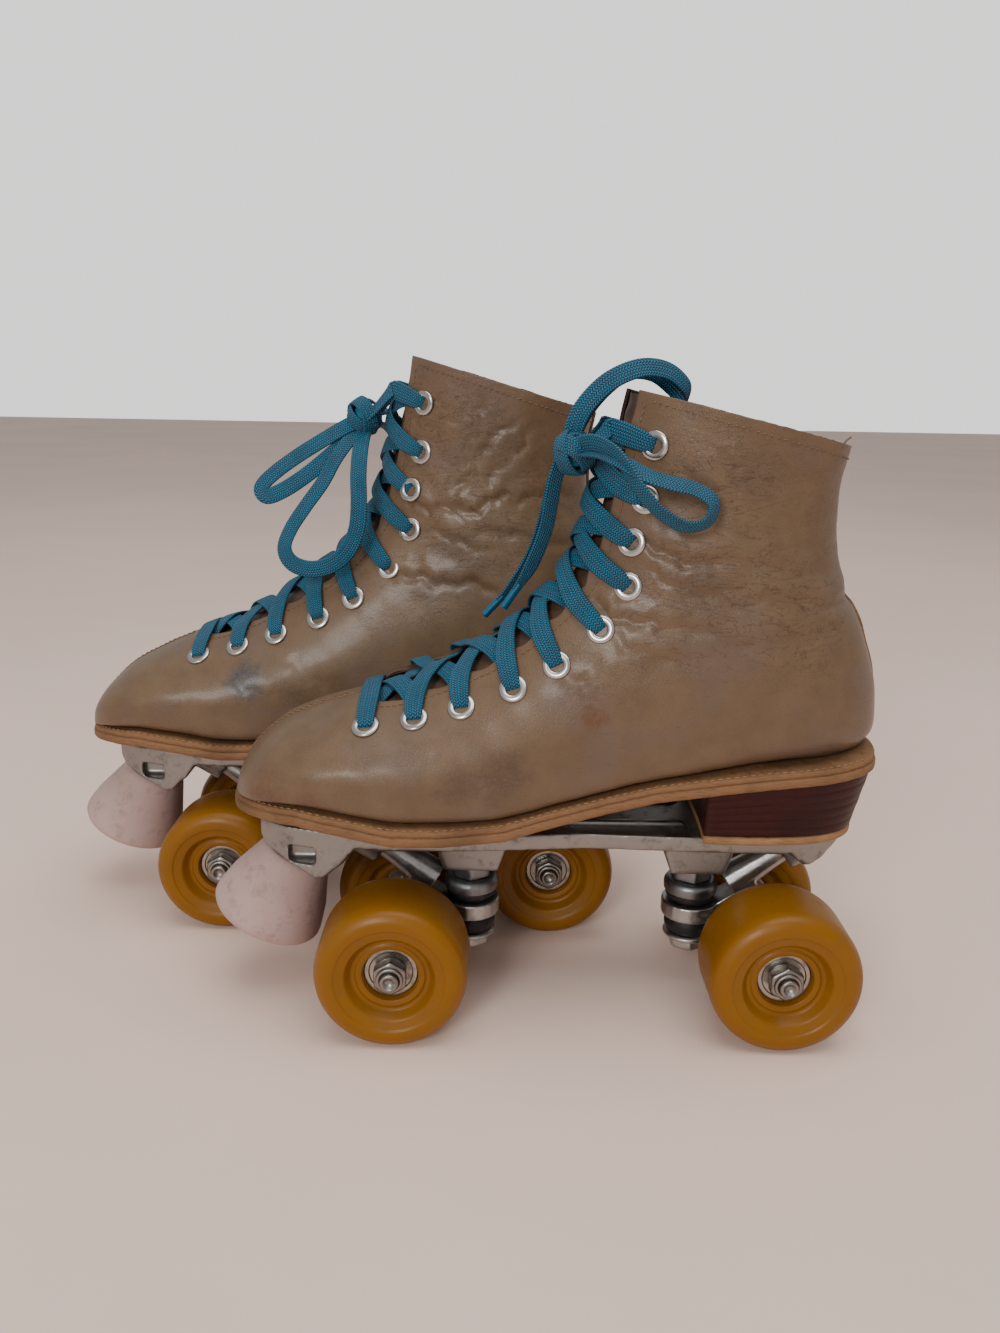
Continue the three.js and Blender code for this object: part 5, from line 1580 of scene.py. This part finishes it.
LEFT_CREASES = (
    (8, 207, 46, 199, 1.2, 1.9), (40, 200, 92, 197, 1.1, 2.0), (-5, 183, 24, 173, 1.3, 1.9),
    (20, 174, 66, 169, 1.2, 2.1), (60, 169, 96, 176, 1.2, 2.2), (41, 243, 52, 222, 0.6, 1.5),
    (30, 236, 50, 208, 0.6, 1.6), (30, 191, 52, 182, 0.8, 1.7), (4, 171, 40, 157, 0.8, 2.3),
    (-16, 155, 4, 143, 0.8, 2.6), (16, 196, 60, 186, 0.7, 1.6), (50, 186, 98, 184, 0.9, 1.8),
    (-72, 124, -30, 110, 0.35, 3.0), (10, 160, 60, 163, 0.5, 3.0), (62, 212, 94, 206, 0.5, 1.8))
RIGHT_CREASES = (
    (5, 211, 38, 206, 1.2, 1.9), (33, 206, 62, 214, 1.2, 1.8), (55, 213, 92, 214, 1.1, 2.0),
    (-3, 180, 24, 172, 1.2, 2.0), (18, 175, 54, 169, 1.1, 2.2), (35, 250, 5, 222, 0.9, 1.6),
    (48, 257, 27, 218, 0.8, 1.6), (60, 249, 30, 215, 0.9, 1.7), (23, 260, 12, 237, 0.7, 1.5),
    (68, 246, 48, 218, 0.6, 1.6), (40, 196, 94, 192, 0.8, 2.2), (-60, 140, -20, 122, 0.5, 3.2),
    (-82, 128, -48, 118, 0.45, 2.6), (12, 196, 52, 190, 0.6, 2.0))


def place_spots(form: Form, rows: Sequence[tuple[Colour, float, Colour, float]]) -> tuple[Spot, ...]:
    """Stains given in the boot's axes, in millimetres."""
    return tuple(Spot(tuple(form.place(np.array(centre)) * MM), radius * MM, colour, strength)
                 for centre, radius, colour, strength in rows)


BROWN = (0.10, 0.055, 0.035)
LEFT_CREASED = (
    ((42, 0, 231), 30, BROWN, 1.0), ((43, 0, 190), 38, BROWN, 1.0), ((20, 0, 176), 24, BROWN, 0.9),
    ((74, 0, 180), 30, BROWN, 0.9), ((-2, 0, 158), 20, BROWN, 0.5), ((80, 0, 225), 22, BROWN, 0.35))
RIGHT_CREASED = (
    ((32, 0, 236), 40, BROWN, 1.0), ((42, 0, 200), 36, BROWN, 1.0), ((20, 0, 172), 26, BROWN, 0.8),
    ((-8, 0, 160), 20, BROWN, 0.5), ((76, 0, 212), 30, BROWN, 0.7))
RUST, SOOT, BLUE, RED = (0.12, 0.05, 0.02), (0.05, 0.032, 0.027), (0.045, 0.05, 0.06), (0.11, 0.04, 0.026)
LEFT_SPOTS = (
    ((-1, -36, 140), 7, RUST, 0.75), ((-36, -42, 115), 13, SOOT, 0.45), ((-54, -43, 112), 11, SOOT, 0.35),
    ((-128, -30, 104), 12, RED, 0.6), ((-112, -40, 98), 10, RED, 0.6), ((102, -22, 148), 5, RED, 0.6),
    ((95, -20, 168), 6, SOOT, 0.35), ((38, -34, 190), 15, SOOT, 0.25), ((60, -28, 236), 16, SOOT, 0.2),
    ((-144, 0, 103), 12, RED, 0.45))
RIGHT_SPOTS = (
    ((-67, 42, 126), 11, BLUE, 0.9), ((-119, 33, 115), 3, SOOT, 0.7), ((-131, 28, 102), 11, RED, 0.4),
    ((34, 33, 184), 16, SOOT, 0.3), ((48, 31, 246), 18, SOOT, 0.3), ((-40, 40, 118), 10, SOOT, 0.3))

# How far the lace stands off the tongue after each row, from the toe up.
LEFT_SLACK = (0.2, 0.4, 0.6, 0.8, 1.4, 2.2, 3.0, 4.0, 4.5)
RIGHT_SLACK = (0.2, 0.3, 0.5, 0.6, 0.9, 1.2, 1.6, 2.0, 2.4)


@dataclass
class Skate:
    """One whole skate."""

    form: Form
    spots: Sequence
    creased: Sequence
    creases: Sequence
    slack: Sequence[float]

    def lace(self) -> Lace:
        """The lace, made before the rest."""
        braid = Braid("lace_braid", (0.002, 0.062, 0.145))
        tip = Metal("lace_tip_plastic", (0.004, 0.12, 0.24), rough=0.3, metallic=0.0, grime=0.2)
        return Lace(self.form, braid, tip, self.slack)

    def build(self) -> None:
        """Makes the boot, the sole and the running gear."""
        name = self.form.foot.value
        skin = Leather(f"{name}_boot_leather", (0.166, 0.106, 0.060),
                       spots=place_spots(self.form, self.spots),
                       creased=place_spots(self.form, self.creased))
        raw = Leather(f"{name}_raw_edge", (0.07, 0.035, 0.02), rough=0.75, worn=0.2)
        lining = Leather(f"{name}_lining_leather", (0.065, 0.036, 0.022), rough=0.75, worn=0.4)
        pad = Leather(f"{name}_tongue_leather", (0.088, 0.050, 0.031), rough=0.5)
        thread = CutLeather(f"{name}_thread", (0.22, 0.13, 0.075))
        nickel = Metal(f"{name}_nickel", (0.62, 0.60, 0.57), rough=0.26, grime=0.08, depth=0.01)
        Boot(self.form, skin, raw, lining, pad, thread, nickel, self.creases).build()
        SoleUnit(
            self.form,
            CutLeather(f"{name}_sole_edge", (0.225, 0.118, 0.056), dark=(0.11, 0.050, 0.022)),
            CutLeather(f"{name}_heel_edge", (0.034, 0.004, 0.004), dark=(0.012, 0.002, 0.002), rough=0.5,
                       gloss=0.05),
            CutLeather(f"{name}_lift_edge", (0.34, 0.19, 0.09), dark=(0.12, 0.05, 0.02)),
            CutLeather(f"{name}_welt_thread", (0.30, 0.17, 0.09)),
        ).build()
        Chassis(
            self.form,
            cast=Metal(f"{name}_plate_cast", (0.34, 0.325, 0.31), rough=0.42, grime=0.6,
                       dirt=(0.06, 0.045, 0.035)),
            hanger_cast=Metal(f"{name}_hanger_cast", (0.48, 0.47, 0.46), rough=0.36, grime=0.55),
            zinc=Metal(f"{name}_zinc", (0.50, 0.49, 0.47), rough=0.35, grime=0.5),
            cup=Metal(f"{name}_cup_plate", (0.27, 0.28, 0.29), rough=0.4, grime=0.4),
            axle_steel=Metal(f"{name}_axle_plate", (0.33, 0.31, 0.29), rough=0.36, grime=0.6,
                             dirt=(0.045, 0.028, 0.018)),
            bearing=Metal(f"{name}_bearing_chrome", (0.46, 0.43, 0.39), rough=0.3, grime=0.7,
                          dirt=(0.06, 0.035, 0.02)),
            cushion=Rubber(f"{name}_cushion_black", (0.012, 0.012, 0.013), rough=0.5, dusty=0.15),
            stop=Rubber(f"{name}_stop_rubber", (0.53, 0.375, 0.345), rough=0.8, dust=(0.27, 0.17, 0.15),
                        dusty=0.9, depth=0.5, pits=350.0),
            urethane=Rubber(f"{name}_amber_urethane", (0.25, 0.098, 0.001), rough=0.42,
                            dust=(0.15, 0.075, 0.015), dusty=0.45, glow=0.1, coat=0.06, depth=0.06),
        ).build()


def main() -> None:
    """Builds the picture and both skates, camera and cords first."""
    logging.basicConfig(level=logging.INFO, format="%(message)s")
    Studio().build()
    left = Skate(Form(Foot.LEFT, 0.0, 3.0, 4.5), LEFT_SPOTS, LEFT_CREASED, LEFT_CREASES, LEFT_SLACK)
    right = Skate(Form(Foot.RIGHT, 8.0), RIGHT_SPOTS, RIGHT_CREASED, RIGHT_CREASES, RIGHT_SLACK)
    for skate in (left, right):
        skate.lace().build()
    for skate in (left, right):
        skate.build()


if __name__ == "__main__":
    main()
